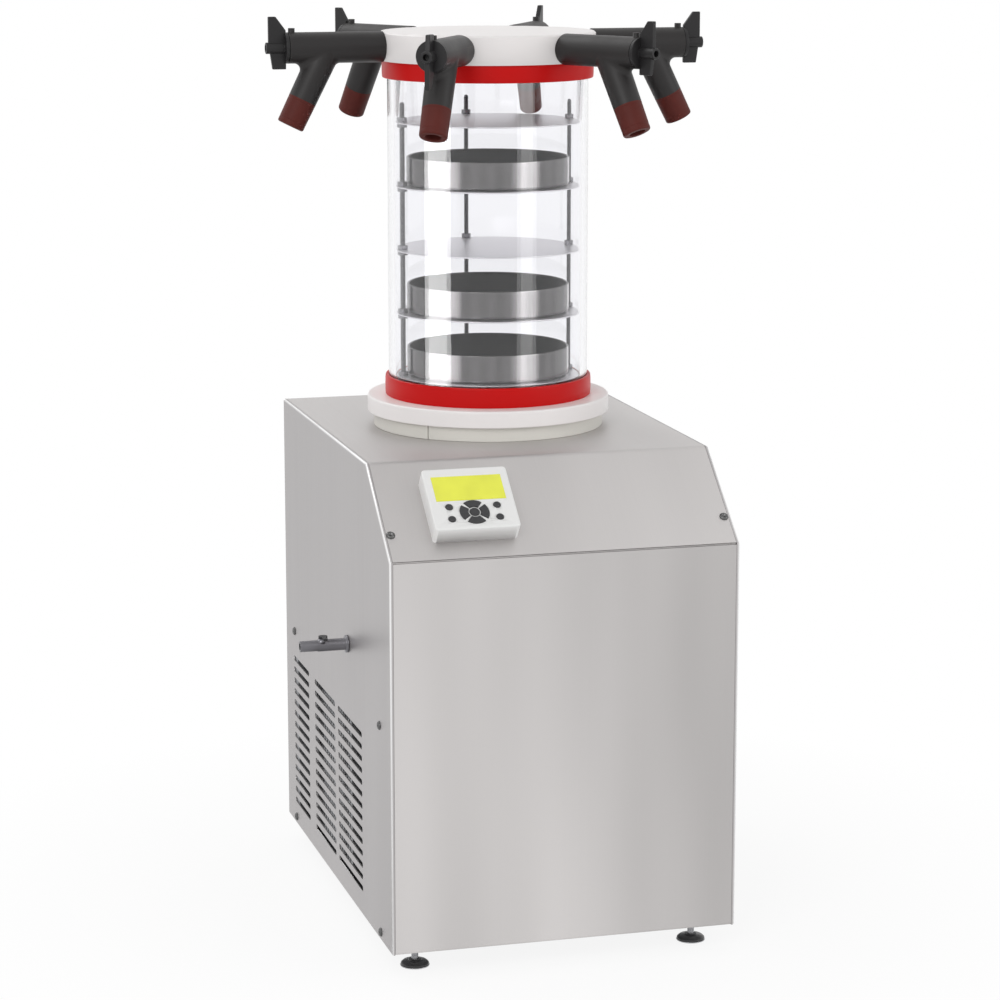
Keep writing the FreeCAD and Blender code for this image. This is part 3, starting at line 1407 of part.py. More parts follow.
def build_plug(number, steps):
    """One valve's plug: stem, flange, hub and the upright turning fin."""
    body = new_body(f"valve_plug_{number}")
    flange = "Layout.plug_face"
    stem = "Sizes.valve_bore - Sizes.plug_clearance"
    turned_part = new_sketch(body, "XZ_Plane")
    polygon(turned_part, [
        (f"{flange} - Sizes.plug_stem_length", "0"), (f"{flange} - Sizes.plug_stem_length", stem),
        (flange, stem), (flange, "Sizes.valve_radius"),
        (f"{flange} + Sizes.plug_flange", "Sizes.valve_radius"),
        (f"{flange} + Sizes.plug_flange", "Sizes.plug_hub_radius"),
        ("Layout.plug_reach", "Sizes.plug_hub_radius"),
        ("Layout.plug_reach", "Sizes.plug_hole_radius"),
        ("Layout.plug_reach - Sizes.plug_hole_depth", "Sizes.plug_hole_radius"),
        ("Layout.plug_reach - Sizes.plug_hole_depth", "0"),
    ])
    revolve(body, turned_part, "H_Axis")
    fin = new_sketch(body, "XZ_Plane")
    up = -1 if number == 2 else 1
    root = f"{flange} + Sizes.plug_flange / 2"
    tip = "Layout.plug_reach - Sizes.fin_setback"
    clear = "Sizes.valve_bore / 2"
    high_fin = [
        (root, f"{up} * {clear}"), (root, f"{up} * Sizes.fin_shoulder"),
        (f"{tip} - Sizes.fin_top_length", f"{up} * Sizes.fin_top"), (tip, f"{up} * Sizes.fin_top"),
        (tip, f"{up} * {clear}"),
    ]
    polygon(fin, high_fin)
    pad(body, fin, "Sizes.fin_thickness", middle=True)
    low_fin = new_sketch(body, "XZ_Plane")
    foot = f"{root} + Sizes.fin_root_length"
    polygon(low_fin, [
        (root, f"{-up} * {clear}"), (root, f"{-up} * Sizes.fin_drop"),
        (f"{foot} - Sizes.fin_setback", f"{-up} * Sizes.fin_drop"), (foot, f"{-up} * {clear}"),
    ])
    pad(body, low_fin, "Sizes.fin_thickness", middle=True)
    around(body, steps)
    return body


def build_sleeve(number, steps):
    """One red-brown outlet sleeve, its neck seated in the branch."""
    body = new_body(f"outlet_sleeve_{number}")
    section = branch_sketch(body)
    neck = "Sizes.sleeve_neck_radius"
    shoulder = "-Layout.branch_body"
    polygon(section, [
        ("Sizes.outlet_bore", "-Sizes.branch_length"),
        ("Sizes.branch_tip_radius - Sizes.outlet_lip", "-Sizes.branch_length"),
        ("Sizes.branch_tip_radius", "-Sizes.branch_length + Sizes.outlet_lip"),
        ("Layout.branch_mouth", shoulder), (neck, shoulder),
        (neck, f"{shoulder} + Sizes.sleeve_neck_length - Sizes.panel_gap"),
        ("Sizes.valve_bore", f"{shoulder} + Sizes.sleeve_neck_length - Sizes.panel_gap"),
        ("Sizes.valve_bore", shoulder), ("Sizes.outlet_bore", shoulder),
    ])
    revolve(body, section)
    around(body, steps)
    return body


valve_bodies = [build_valve_body(i, steps) for i, steps in enumerate(VALVE_STEPS, start=1)]
valve_plugs = [build_plug(i, steps) for i, steps in enumerate(VALVE_STEPS, start=1)]
outlet_sleeves = [build_sleeve(i, steps) for i, steps in enumerate(VALVE_STEPS, start=1)]

# ----------------------------------------------------------- rack and trays

ROD_ANGLES = [180, 0, 90]


def rod_spots():
    """The rods' places round the chamber's axis: left, right and rear."""
    circle_radius = value("rod_circle")
    for degrees in ROD_ANGLES:
        angle = math.radians(degrees)
        across = circle_radius * math.cos(angle)
        yield across, value("chamber_y") + circle_radius * math.sin(angle), degrees


def shelf_levels():
    """The heights of the shelves' upper faces."""
    for step in range(int(value("shelf_count"))):
        yield value("shelf_first") + step * value("shelf_pitch")


def build_rods():
    """Three threaded rods standing on the base disc."""
    base = value("seal_base")
    length = value("rack_top") - base
    radius = value("rod_radius")
    tip = radius * 0.25
    rod = half_section([(0, 0), (radius, 0), (radius, length - tip), (radius - tip, length), (0, length)])
    return grouped("rack_rods", [moved(rod, across, deep, base) for across, deep, _ in rod_spots()])


def build_nuts():
    """A hexagonal nut above and below every shelf on every rod."""
    height = value("nut_height")
    nut = hexagon(value("nut_across_flats"), height)
    nut = nut.cut(Part.makeCylinder(value("rod_radius"), height))
    copies = []
    for level in shelf_levels():
        for across, deep, degrees in rod_spots():
            turn = FreeCAD.Rotation(Z_AXIS, degrees)
            copies.append(moved(nut, across, deep, level, turn))
            copies.append(moved(nut, across, deep, level - value("shelf_thickness") - height, turn))
    return grouped("rack_nuts", copies)


def build_shelves():
    """The round shelf plates, drilled for the rods."""
    thickness = value("shelf_thickness")
    chamber = value("chamber_y")
    drill = value("rod_radius") + value("rod_hole_gap")
    plate = Part.makeCylinder(value("shelf_radius"), thickness, FreeCAD.Vector(0, chamber, 0))
    for across, deep, _ in rod_spots():
        plate = plate.cut(Part.makeCylinder(drill, thickness, FreeCAD.Vector(across, deep, 0)))
    copies = [moved(plate, high=level - thickness) for level in shelf_levels()]
    return grouped("shelf_plates", copies)


rack_rods = build_rods()
rack_nuts = build_nuts()
shelf_plates = build_shelves()


def build_tray(number, shelf):
    """A round sample tray resting on a shelf."""
    body = new_body(f"sample_tray_{number}")
    section = new_sketch(body, "XZ_Plane")
    rectangle(section, "0", "Layout.tray_radius", "0", "Sizes.tray_height")
    revolve(body, section)
    doc.recompute()
    fillet(body, "Sizes.tray_corner", is_circle_at(0, value("tray_radius")))
    top = value("tray_height")
    shell(body, "Sizes.tray_wall",
          lambda face: near(face.BoundBox.ZMin, top) and near(face.BoundBox.ZMax, top))
    place(body, deep="Sizes.chamber_y", high=f"Layout.shelf_first + {shelf - 1} * Sizes.shelf_pitch")
    return body


sample_trays = [build_tray(i, shelf) for i, shelf in enumerate((1, 2, 4), start=1)]

# ------------------------------------------------------------- refrigeration


def build_compressor():
    """The sealed compressor: a domed pot on a round base plate."""
    body = new_body("compressor")
    section = new_sketch(body, "XZ_Plane")
    shoulder = "Sizes.compressor_foot + Sizes.compressor_height - Sizes.compressor_dome"
    polygon(section, [
        ("0", "0"), ("Sizes.compressor_foot_radius", "0"),
        ("Sizes.compressor_foot_radius", "Sizes.compressor_foot"),
        ("Sizes.compressor_radius", "Sizes.compressor_foot"), ("Sizes.compressor_radius", shoulder),
        ("Sizes.compressor_radius / 2", "Sizes.compressor_foot + Sizes.compressor_height"),
        ("0", "Sizes.compressor_foot + Sizes.compressor_height"),
    ])
    revolve(body, section)
    place(body, "Layout.compressor_x", "Sizes.compressor_y", "Layout.frame_foot")
    return body


compressor = build_compressor()


def build_air_condenser():
    """The finned block behind the side vents, bored for the fan's shaft."""
    body = new_body("air_condenser")
    outline = new_sketch(body, "YZ_Plane")
    half = "Sizes.coil_block_width / 2"
    rectangle(outline, f"-{half}", half, "Layout.frame_foot", "Layout.frame_foot + Sizes.coil_block_height")
    pad(body, outline, "Sizes.coil_block_depth")
    groove_sketch = new_sketch(body, "YZ_Plane")
    first = "-(Sizes.fin_slots - 1) / 2 * Sizes.fin_slot_pitch"
    rectangle(groove_sketch, f"{first} - Sizes.fin_slot_width / 2", f"{first} + Sizes.fin_slot_width / 2",
              "Layout.frame_foot", "Layout.frame_foot + Sizes.coil_block_height")
    cut = pocket(body, groove_sketch, "Sizes.fin_slot_depth", reverse=True)
    run = "(Sizes.fin_slots - 1) * Sizes.fin_slot_pitch"
    linear(body, [cut], groove_sketch, "H_Axis", run, "Sizes.fin_slots")
    shaft = new_sketch(body, "YZ_Plane", offset={"z": "Sizes.coil_block_depth"})
    circle(shaft, "0", "Layout.fan_level", "Sizes.fan_shaft_radius + Sizes.fan_shaft_clearance")
    pocket(body, shaft, "Sizes.fan_shaft_depth + Sizes.panel_gap")
    place(body, "-Layout.block_outer", "Sizes.coil_block_y")
    return body


air_condenser = build_air_condenser()


def build_fan():
    """The fan: a hub on a short shaft with five pitched blades."""
    body = new_body("fan_rotor")
    section = new_sketch(body, "XZ_Plane")
    half = "Sizes.fan_hub_length / 2"
    shaft_end = f"-{half} - Sizes.fan_standoff - Sizes.fan_shaft_depth"
    polygon(section, [
        (shaft_end, "0"), (shaft_end, "Sizes.fan_shaft_radius"), (f"-{half}", "Sizes.fan_shaft_radius"),
        (f"-{half}", "Sizes.fan_hub_radius"), (half, "Sizes.fan_hub_radius"), (half, "0"),
    ])
    revolve(body, section, "H_Axis")
    blade = new_sketch(body, "XY_Plane", offset={"z": "Sizes.fan_hub_radius - Sizes.fan_standoff"})
    long = "Sizes.fan_blade_chord / 2"
    thin = "Sizes.fan_blade_thickness / 2"
    cosine = "cos(Sizes.fan_blade_pitch * 1 deg)"
    sine = "sin(Sizes.fan_blade_pitch * 1 deg)"
    corners = []
    for side_long, side_thin in ((1, 1), (1, -1), (-1, -1), (-1, 1)):
        corners.append((
            f"{side_long} * {long} * {sine} + {side_thin} * {thin} * {cosine}",
            f"{side_long} * {long} * {cosine} - {side_thin} * {thin} * {sine}",
        ))
    polygon(blade, corners)
    wing = pad(body, blade, "Sizes.fan_radius - Sizes.fan_hub_radius + Sizes.fan_standoff")
    polar(body, [wing], "X_Axis", int(value("fan_blades")))
    place(body, "-Layout.fan_centre", "Sizes.coil_block_y", "Layout.fan_level")
    return body


fan_rotor = build_fan()

# --------------------------------------------------------------- power inlet


def build_power_inlet():
    """The inlet module: plate, body, socket with three pins, and rocker well."""
    body = new_body("power_inlet")
    plate = new_sketch(body, "XZ_Plane")
    rectangle(plate, "-Sizes.inlet_width / 2", "Sizes.inlet_width / 2",
              "-Sizes.inlet_height / 2", "Sizes.inlet_height / 2")
    pad(body, plate, "Sizes.inlet_plate", reverse=True)
    rear = new_sketch(body, "XZ_Plane")
    half_width = "(Sizes.inlet_width / 2 - Sizes.inlet_body_margin)"
    half_height = "(Sizes.inlet_height / 2 - Sizes.inlet_body_margin)"
    rectangle(rear, f"-{half_width}", half_width, f"-{half_height}", half_height)
    pad(body, rear, "Sizes.inlet_body_depth")
    face = {"z": "-Sizes.inlet_plate"}
    socket = new_sketch(body, "XZ_Plane", offset=face)
    rectangle(socket, "-Sizes.socket_width / 2", "Sizes.socket_width / 2",
              "Sizes.socket_level - Sizes.socket_height / 2", "Sizes.socket_level + Sizes.socket_height / 2")
    pocket(body, socket, "Sizes.socket_depth", reverse=True)
    well = new_sketch(body, "XZ_Plane", offset=face)
    rectangle(well, "-Sizes.rocker_width / 2 - Sizes.rocker_clearance / 2",
              "Sizes.rocker_width / 2 + Sizes.rocker_clearance / 2",
              "Sizes.rocker_level - Sizes.rocker_height / 2 - Sizes.rocker_clearance",
              "Sizes.rocker_level + Sizes.rocker_height / 2 + Sizes.rocker_clearance")
    pocket(body, well, "Sizes.rocker_well_depth", reverse=True)
    pivot = new_sketch(body, "YZ_Plane")
    circle(pivot, "Sizes.inlet_plate - Sizes.rocker_pivot_depth", "Sizes.rocker_level",
           "Sizes.rocker_pin_radius + Sizes.rocker_pin_clearance")
    through = "Sizes.rocker_width + 2 * Sizes.rocker_pin_length + 2 * Sizes.rocker_clearance"
    pocket(body, pivot, through, middle=True)
    pins = new_sketch(body, "XZ_Plane", offset={"z": "Sizes.socket_depth - Sizes.inlet_plate"})
    for across, level in (("-Sizes.socket_pin_spread", "Sizes.socket_level"), ("Sizes.socket_pin_spread",
                          "Sizes.socket_level"), ("0", "Sizes.socket_level + Sizes.socket_height / 5")):
        half = "Sizes.socket_pin / 2"
        rectangle(pins, f"{across} - {half}", f"{across} + {half}", f"{level} - {half}", f"{level} + {half}")
    pad(body, pins, "Sizes.socket_pin_reach", reverse=True)
    place(body, "Layout.inlet_offset", "Layout.half_depth", "Sizes.inlet_level")
    return body


power_inlet = build_power_inlet()


def build_rocker():
    """The rocker switch on its pins, at rest tipped to off."""
    body = new_body("rocker_switch")
    section = new_sketch(body, "YZ_Plane")
    half = "Sizes.rocker_height / 2"
    rise = f"Sizes.rocker_face + {half} * tan(Sizes.rocker_tilt * 1 deg)"
    polygon(section, [
        ("Sizes.rocker_face", "0"), (rise, f"-{half}"), ("-Sizes.rocker_back * 0.8", f"-{half} * 0.86"),
        ("-Sizes.rocker_back", f"-{half} * 0.5"), ("-Sizes.rocker_back", f"{half} * 0.5"),
        ("-Sizes.rocker_back * 0.8", f"{half} * 0.86"), (rise, half),
    ])
    pad(body, section, "Sizes.rocker_width", middle=True)
    pins = new_sketch(body, "YZ_Plane")
    circle(pins, "0", "0", "Sizes.rocker_pin_radius")
    pad(body, pins, "Sizes.rocker_width + 2 * Sizes.rocker_pin_length", middle=True)
    body.Placement = FreeCAD.Placement(FreeCAD.Vector(), FreeCAD.Rotation(X_AXIS, 45))
    tie(body, {"Placement.Rotation.Angle": "Sizes.rocker_tilt * 1 deg"})
    place(body, "Layout.inlet_offset", "Layout.inlet_face - Sizes.rocker_pivot_depth",
          "Sizes.inlet_level + Sizes.rocker_level")
    return body


rocker_switch = build_rocker()

# ------------------------------------------------------- checks and export

doc.recompute()


def check_document():
    """Stop if any object failed to compute or any piece is not sound."""
    for obj in doc.Objects:
        broken = [state for state in obj.State if "Invalid" in state or "Error" in state]
        if broken:
            raise RuntimeError(f"{obj.Label}: {broken}")
    for obj in subparts:
        if obj.Shape.isNull() or not obj.Shape.isValid():
            raise RuntimeError(f"{obj.Label}: its shape is not sound")


check_document()
os.makedirs("parts", exist_ok=True)
for piece in subparts:
    piece.Shape.exportStep(f"parts/{piece.Label}.step")
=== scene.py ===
"""Looks of a laboratory freeze dryer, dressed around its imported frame.

The frame holds every piece at its real size and place. This script gives each
visible piece its finished form and its material, and adds the floor, the soft
lights and the camera. Lengths are in metres unless a name ends in _mm.
"""

import json
import logging
import math
from dataclasses import dataclass, replace
from enum import Enum
from typing import Any, Callable, Iterable, Mapping, Sequence

import bmesh
import bpy
from mathutils import Matrix, Vector

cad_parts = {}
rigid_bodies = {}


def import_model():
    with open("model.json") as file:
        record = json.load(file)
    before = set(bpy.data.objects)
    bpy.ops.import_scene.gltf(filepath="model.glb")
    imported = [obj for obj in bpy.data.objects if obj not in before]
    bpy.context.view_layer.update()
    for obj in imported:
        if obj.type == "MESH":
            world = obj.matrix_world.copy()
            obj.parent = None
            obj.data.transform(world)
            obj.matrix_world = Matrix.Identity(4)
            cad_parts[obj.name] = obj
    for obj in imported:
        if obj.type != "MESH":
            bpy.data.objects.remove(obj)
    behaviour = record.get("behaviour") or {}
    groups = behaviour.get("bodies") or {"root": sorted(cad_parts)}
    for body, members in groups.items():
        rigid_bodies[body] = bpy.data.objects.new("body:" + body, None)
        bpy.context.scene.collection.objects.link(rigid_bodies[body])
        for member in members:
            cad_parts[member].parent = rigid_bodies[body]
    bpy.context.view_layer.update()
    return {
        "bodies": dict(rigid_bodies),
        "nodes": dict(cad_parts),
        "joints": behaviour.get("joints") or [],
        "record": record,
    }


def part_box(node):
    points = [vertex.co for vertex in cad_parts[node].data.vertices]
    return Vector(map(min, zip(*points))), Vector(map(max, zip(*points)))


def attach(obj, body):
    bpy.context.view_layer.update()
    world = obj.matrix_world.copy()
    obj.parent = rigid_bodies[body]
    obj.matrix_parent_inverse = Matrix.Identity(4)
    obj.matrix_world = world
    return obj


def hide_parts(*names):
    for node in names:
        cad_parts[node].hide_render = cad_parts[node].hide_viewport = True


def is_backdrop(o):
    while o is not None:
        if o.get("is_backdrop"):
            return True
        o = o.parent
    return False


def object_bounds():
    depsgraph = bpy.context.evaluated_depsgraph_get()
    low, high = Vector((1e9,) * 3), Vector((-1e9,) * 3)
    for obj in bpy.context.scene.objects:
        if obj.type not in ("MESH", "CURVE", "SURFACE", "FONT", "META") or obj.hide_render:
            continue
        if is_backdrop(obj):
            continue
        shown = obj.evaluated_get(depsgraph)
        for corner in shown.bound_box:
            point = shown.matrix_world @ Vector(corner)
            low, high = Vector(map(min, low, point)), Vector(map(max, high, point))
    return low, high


LOG = logging.getLogger("freeze_dryer")
MM = 0.001
FULL_TURN = 2.0 * math.pi
HALF_TURN = math.pi
QUARTER_TURN = math.pi / 2.0
ROOT = "root"
WELD_DISTANCE = 1e-6
DISPLAY_STEPS = 255.0
WHITE = (1.0, 1.0, 1.0)
DUST_GREY = (0.62, 0.60, 0.57)
SOCKET_KINDS = {"Vector": "Vector", "Colour": "Color"}
Colour = tuple[float, float, float]
Profile = Sequence[tuple[float, float]]
Shape = bmesh.types.BMesh
Socket = bpy.types.NodeSocket
Sockets = Mapping[Any, Socket]


def tone(red: int, green: int, blue: int) -> Colour:
    """Turn a display colour from 0 to 255 into linear light.

    Args:
        red: The red channel.
        green: The green channel.
        blue: The blue channel.

    Returns:
        The linear colour.
    """
    def linear(channel: int) -> float:
        """Turn one channel into linear light."""
        share = channel / DISPLAY_STEPS
        return share / 12.92 if share <= 0.04045 else ((share + 0.055) / 1.055) ** 2.4

    return linear(red), linear(green), linear(blue)


# ------------------------------------------------------------ shader groups


class Effect(Enum):
    """The surface effects that several finishes share, one node group each."""

    TONE_DRIFT = "tone_drift"
    FINE_GRAIN = "fine_grain"
    BRUSHED = "brushed_lines"
    SPUN_RINGS = "spun_rings"
    SETTLED_DUST = "settled_dust"
    # painted reflection bands round a polished round wall, and painted shade inside it
    PAINTED_REFLECTION_SHADE = "painted_reflection_shade"
    # painted highlight along folded bends
    PAINTED_BEND_HIGHLIGHT = "painted_bend_highlight"


class NodeSheet:
    """A node tree with short ways to add nodes and join their sockets."""

    def __init__(self, tree: bpy.types.NodeTree) -> None:
        """Take over a tree."""
        self.tree = tree

    def add(self, kind: str, feeds: Mapping[Any, Any] | None = None, **settings: Any) -> bpy.types.Node:
        """Add a node.

        Args:
            kind: The node's type name.
            feeds: Sockets or plain values, by the name or number of the input.
            settings: Values for the node's own properties.

        Returns:
            The new node.
        """
        node = self.tree.nodes.new(kind)
        for name, setting in settings.items():
            setattr(node, name, setting)
        self.supply(node, feeds or {})
        return node

    def supply(self, node: bpy.types.Node, feeds: Mapping[Any, Any]) -> None:
        """Feed several of a node's inputs, by name or number."""
        for name, source in feeds.items():
            self.feed(node.inputs[name], source)

    def feed(self, socket: Socket, source: Any) -> None:
        """Give an input a link from an output, or a plain value.

        Args:
            socket: The input socket.
            source: An output socket, a number, a colour or a vector.
        """
        if isinstance(source, Socket):
            self.tree.links.new(source, socket)
            return
        if socket.type == "RGBA" and len(source) == 3:
            source = (*source, 1.0)
        socket.default_value = source

    def math(self, operation: str, first: Any, second: Any = 0.0) -> Socket:
        """Combine two numbers."""
        return self.add("ShaderNodeMath", {0: first, 1: second}, operation=operation).outputs[0]

    def vector_math(self, operation: str, feeds: Mapping[Any, Any]) -> Sockets:
        """Work on a vector or a colour, and give the node's outputs."""
        return self.add("ShaderNodeVectorMath", feeds, operation=operation).outputs

    def scaled(self, vector: Any, factor: Any) -> Socket:
        """Make a vector or a colour longer or shorter by a factor."""
        return self.vector_math("SCALE", {0: vector, "Scale": factor})[0]

    def split(self, vector: Any) -> Sockets:
        """Split a vector into its three numbers."""
        return self.add("ShaderNodeSeparateXYZ", {0: vector}).outputs

    def vector(self, numbers: Mapping[int, Any]) -> Socket:
        """Make a vector of the given numbers, with zero for those left out."""
        return self.add("ShaderNodeCombineXYZ", numbers).outputs[0]

    def normal(self) -> Socket:
        """Give the surface's normal."""
        return self.add("ShaderNodeNewGeometry").outputs["Normal"]

    def span(self, source: Any, low: Any, high: Any, start: float = 0.0, stop: float = 1.0) -> Socket:
        """Map a number from the range of start to stop to that of low to high."""
        feeds = {"Value": source, "From Min": start, "From Max": stop, "To Min": low, "To Max": high}
        return self.add("ShaderNodeMapRange", feeds).outputs["Result"]

    def noise(self, vector: Any, scale: Any, detail: float = 3.0, rough: float = 0.55) -> Socket:
        """Add a noise texture, with detail octaves of which the finer are rough times as strong."""
        feeds = {"Vector": vector, "Scale": scale, "Detail": detail, "Roughness": rough}
        return self.add("ShaderNodeTexNoise", feeds).outputs["Fac"]

    def swing(self, pattern: Any, depth: Any, middle: Any) -> Socket:
        """Swing a value about its middle, as far as a pattern from 0 to 1 and a depth say."""
        centred = self.math("SUBTRACT", pattern, 0.5)
        return self.math("ADD", self.math("MULTIPLY", centred, depth), middle)

    def blend(self, share: Any, first: Any, second: Any) -> Socket:
        """Mix two colours, by the second one's share."""
        return self.add("ShaderNodeMix", {0: share, 6: first, 7: second}, data_type="RGBA").outputs[2]

    def mix(self, share: Any, first: Any, second: Any) -> Socket:
        """Mix two shaders, by the second one's share."""
        return self.add("ShaderNodeMixShader", {0: share, 1: first, 2: second}).outputs[0]


class EffectLibrary:
    """Builds each shared effect once, as a node group with named sockets."""

    PATCH_SCALE = 0.02
    BRUSH_STRETCH = (1.0, 0.02, 0.02)
    DUST_SCALE = 22.0
    # scale of the noise that breaks up the painted bend highlight
    HIGHLIGHT_BREAKUP_SCALE = 30.0
    # the painted reflection bands round a round wall: how many per turn, and their narrow and fine parts
    STREAKS_PER_TURN = 3.0
    NARROW_SHARE = 0.8
    FINE_STREAKS = 11.0
    FINE_DEPTH = 0.12
    FINE_MIDDLE = 0.95

    def __init__(self) -> None:
        """Start with no group built, and with each group's inputs, outputs and maker."""
        grain = ("Vector Scale Roughness Spread", "Height Roughness")
        self._groups: dict[Effect, bpy.types.NodeTree] = {}
        self._plans: dict[Effect, tuple[str, str, Callable[[NodeSheet, Sockets], tuple[Socket, ...]]]] = {
            Effect.TONE_DRIFT: ("Vector Colour Depth Scale", "Colour", self._tone_drift),
            Effect.FINE_GRAIN: (*grain, self._fine_grain),
            Effect.BRUSHED: (*grain, self._brushed),
            Effect.SPUN_RINGS: (*grain, self._spun_rings),
            Effect.SETTLED_DUST: ("Vector Amount", "Mask", self._settled_dust),
            Effect.PAINTED_REFLECTION_SHADE: ("Vector Colour Depth Phase Shade", "Colour", self._painted_reflection_shade),
            Effect.PAINTED_BEND_HIGHLIGHT: ("Vector Amount", "Mask", self._painted_bend_highlight),
        }

    def place(self, sheet: NodeSheet, effect: Effect, **values: Any) -> Sockets:
        """Put an effect's group into a material.

        Args:
            sheet: The material's node sheet.
            effect: The effect.
            values: Values or sockets for the group's inputs, by name.

        Returns:
            The group node's outputs.
        """
        if effect not in self._groups:
            self._groups[effect] = self._group(effect)
        return sheet.add("ShaderNodeGroup", values, node_tree=self._groups[effect]).outputs

    def _group(self, effect: Effect) -> bpy.types.NodeTree:
        """Build an effect's group.

        Args:
            effect: The effect, which names the group.

        Returns:
            The group.
        """
        inputs, outputs, make = self._plans[effect]
        tree = bpy.data.node_groups.new(effect.value, "ShaderNodeTree")
        for side, names in (("INPUT", inputs), ("OUTPUT", outputs)):
            for name in names.split():
                kind = f"NodeSocket{SOCKET_KINDS.get(name, 'Float')}"
                tree.interface.new_socket(name=name, in_out=side, socket_type=kind)
        sheet = NodeSheet(tree)
        results = make(sheet, sheet.add("NodeGroupInput").outputs)
        sheet.add("NodeGroupOutput", dict(zip(outputs.split(), results)))
        return tree

    @staticmethod
    def _tone_drift(sheet: NodeSheet, entry: Sockets) -> tuple[Socket, ...]:
        """Give slow, faint changes of a colour's lightness."""
        broad = sheet.noise(entry["Vector"], entry["Scale"], detail=2.0)
        return (sheet.scaled(entry["Colour"], sheet.swing(broad, entry["Depth"], 1.0)),)

    def _fine_grain(self, sheet: NodeSheet, entry: Sockets) -> tuple[Socket, ...]:
        """Give the small bumps of powder coat, rubber or moulded plastic."""
        patch = sheet.noise(entry["Vector"], sheet.math("MULTIPLY", entry["Scale"], self.PATCH_SCALE))
        return (
            sheet.noise(entry["Vector"], entry["Scale"]),
            sheet.swing(patch, entry["Spread"], entry["Roughness"]),
        )

    @staticmethod
    def _lined(sheet: NodeSheet, entry: Sockets, lines: Socket) -> tuple[Socket, ...]:
        """Give lines as both the grain's height and its change of roughness."""
        return lines, sheet.swing(lines, entry["Spread"], entry["Roughness"])

    def _brushed(self, sheet: NodeSheet, entry: Sockets) -> tuple[Socket, ...]:
        """Give straight brush lines, which change only along the coordinates' first axis."""
        drawn = sheet.vector_math("MULTIPLY", {0: entry["Vector"], 1: self.BRUSH_STRETCH})[0]
        return self._lined(sheet, entry, sheet.noise(drawn, entry["Scale"], detail=4.0, rough=0.65))

    def _spun_rings(self, sheet: NodeSheet, entry: Sockets) -> tuple[Socket, ...]:
        """Give the rings that spinning or turning leaves round an upright axis.

        Args:
            sheet: The group's sheet.
            entry: The group's inputs.

        Returns:
            The rings' height, and the roughness.
        """
        across, deep, high = sheet.split(entry["Vector"])
        squares = sheet.math("ADD", sheet.math("POWER", across, 2.0), sheet.math("POWER", deep, 2.0))
        ring = sheet.vector({0: sheet.math("SQRT", squares), 2: high})
        return self._lined(sheet, entry, sheet.noise(ring, entry["Scale"], rough=0.7))

    def _settled_dust(self, sheet: NodeSheet, entry: Sockets) -> tuple[Socket, ...]:
        """Give a mask of the faint dust that lies on faces turned upward.

        Args:
            sheet: The group's sheet.
            entry: The group's inputs.

        Returns:
            The mask.
        """
        upward = sheet.span(sheet.split(sheet.normal())[2], 0.0, 1.0, start=0.6, stop=1.0)
        cloud = sheet.noise(entry["Vector"], self.DUST_SCALE, detail=5.0, rough=0.7)
        mask = sheet.math("MULTIPLY", upward, sheet.span(cloud, 0.2, 1.0, start=0.35, stop=0.75))
        return (sheet.math("MULTIPLY", mask, entry["Amount"]),)

    def _painted_reflection_shade(self, sheet: NodeSheet, entry: Sockets) -> tuple[Socket, ...]:
        """Paint a polished round wall with bright and dark bands that stand in for its reflections, and with
        painted shade inside it.

        Args:
            sheet: The group's sheet.
            entry: The group's inputs.

        Returns:
            The colour.
        """
        across, deep, _ = sheet.split(entry["Vector"])
        inside = self._painted_shade_mask(sheet, sheet.vector({0: across, 1: deep}))
        left = sheet.math("SUBTRACT", 1.0, sheet.math("MULTIPLY", inside, entry["Shade"]))
        light = self._painted_streak_light(sheet, sheet.math("ARCTAN2", deep, across), entry)
        return (sheet.scaled(entry["Colour"], sheet.math("MULTIPLY", light, left)),)

    def _painted_streak_light(self, sheet: NodeSheet, turn: Socket, entry: Sockets) -> Socket:
        """Give the light of the painted reflection bands round an axis: broad and narrow ones, with fine ones
        over them.

        Args:
            sheet: The group's sheet.
            turn: The angle round the axis.
            entry: The group's inputs.

        Returns:
            The light.
        """
        once = sheet.math("ADD", sheet.math("MULTIPLY", turn, self.STREAKS_PER_TURN), entry["Phase"])
        narrow = sheet.math("COSINE", sheet.math("MULTIPLY", once, 2.0))
        streak = sheet.math(
            "ADD", sheet.math("MULTIPLY", narrow, self.NARROW_SHARE),
            sheet.math("MULTIPLY", sheet.math("COSINE", once), 1.0 - self.NARROW_SHARE),
        )
        darkest = sheet.math("SUBTRACT", 1.0, entry["Depth"])
        band = sheet.span(streak, darkest, 1.0, start=0.1, stop=0.85)
        fine = sheet.math("SINE", sheet.math("MULTIPLY", once, self.FINE_STREAKS))
        fine = sheet.math("ADD", sheet.math("MULTIPLY", fine, self.FINE_DEPTH), self.FINE_MIDDLE)
        return sheet.math("MULTIPLY", band, fine)

    @staticmethod
    def _painted_shade_mask(sheet: NodeSheet, flat: Socket) -> Socket:
        """Mask the faces that look at the axis or straight up, which the wall shades; the painted shade goes
        on them.

        Args:
            sheet: The group's sheet.
            flat: The way from the axis to the face.

        Returns:
            The mask.
        """
        outward = sheet.vector_math("NORMALIZE", {0: flat})[0]
        normal = sheet.normal()
        faced = sheet.vector_math("DOT_PRODUCT", {0: outward, 1: normal})["Value"]
        inward = sheet.span(faced, 1.0, 0.0, start=-0.6, stop=-0.1)
        upward = sheet.span(sheet.split(normal)[2], 0.0, 1.0, start=0.6, stop=0.95)
        return sheet.math("MAXIMUM", inward, upward)

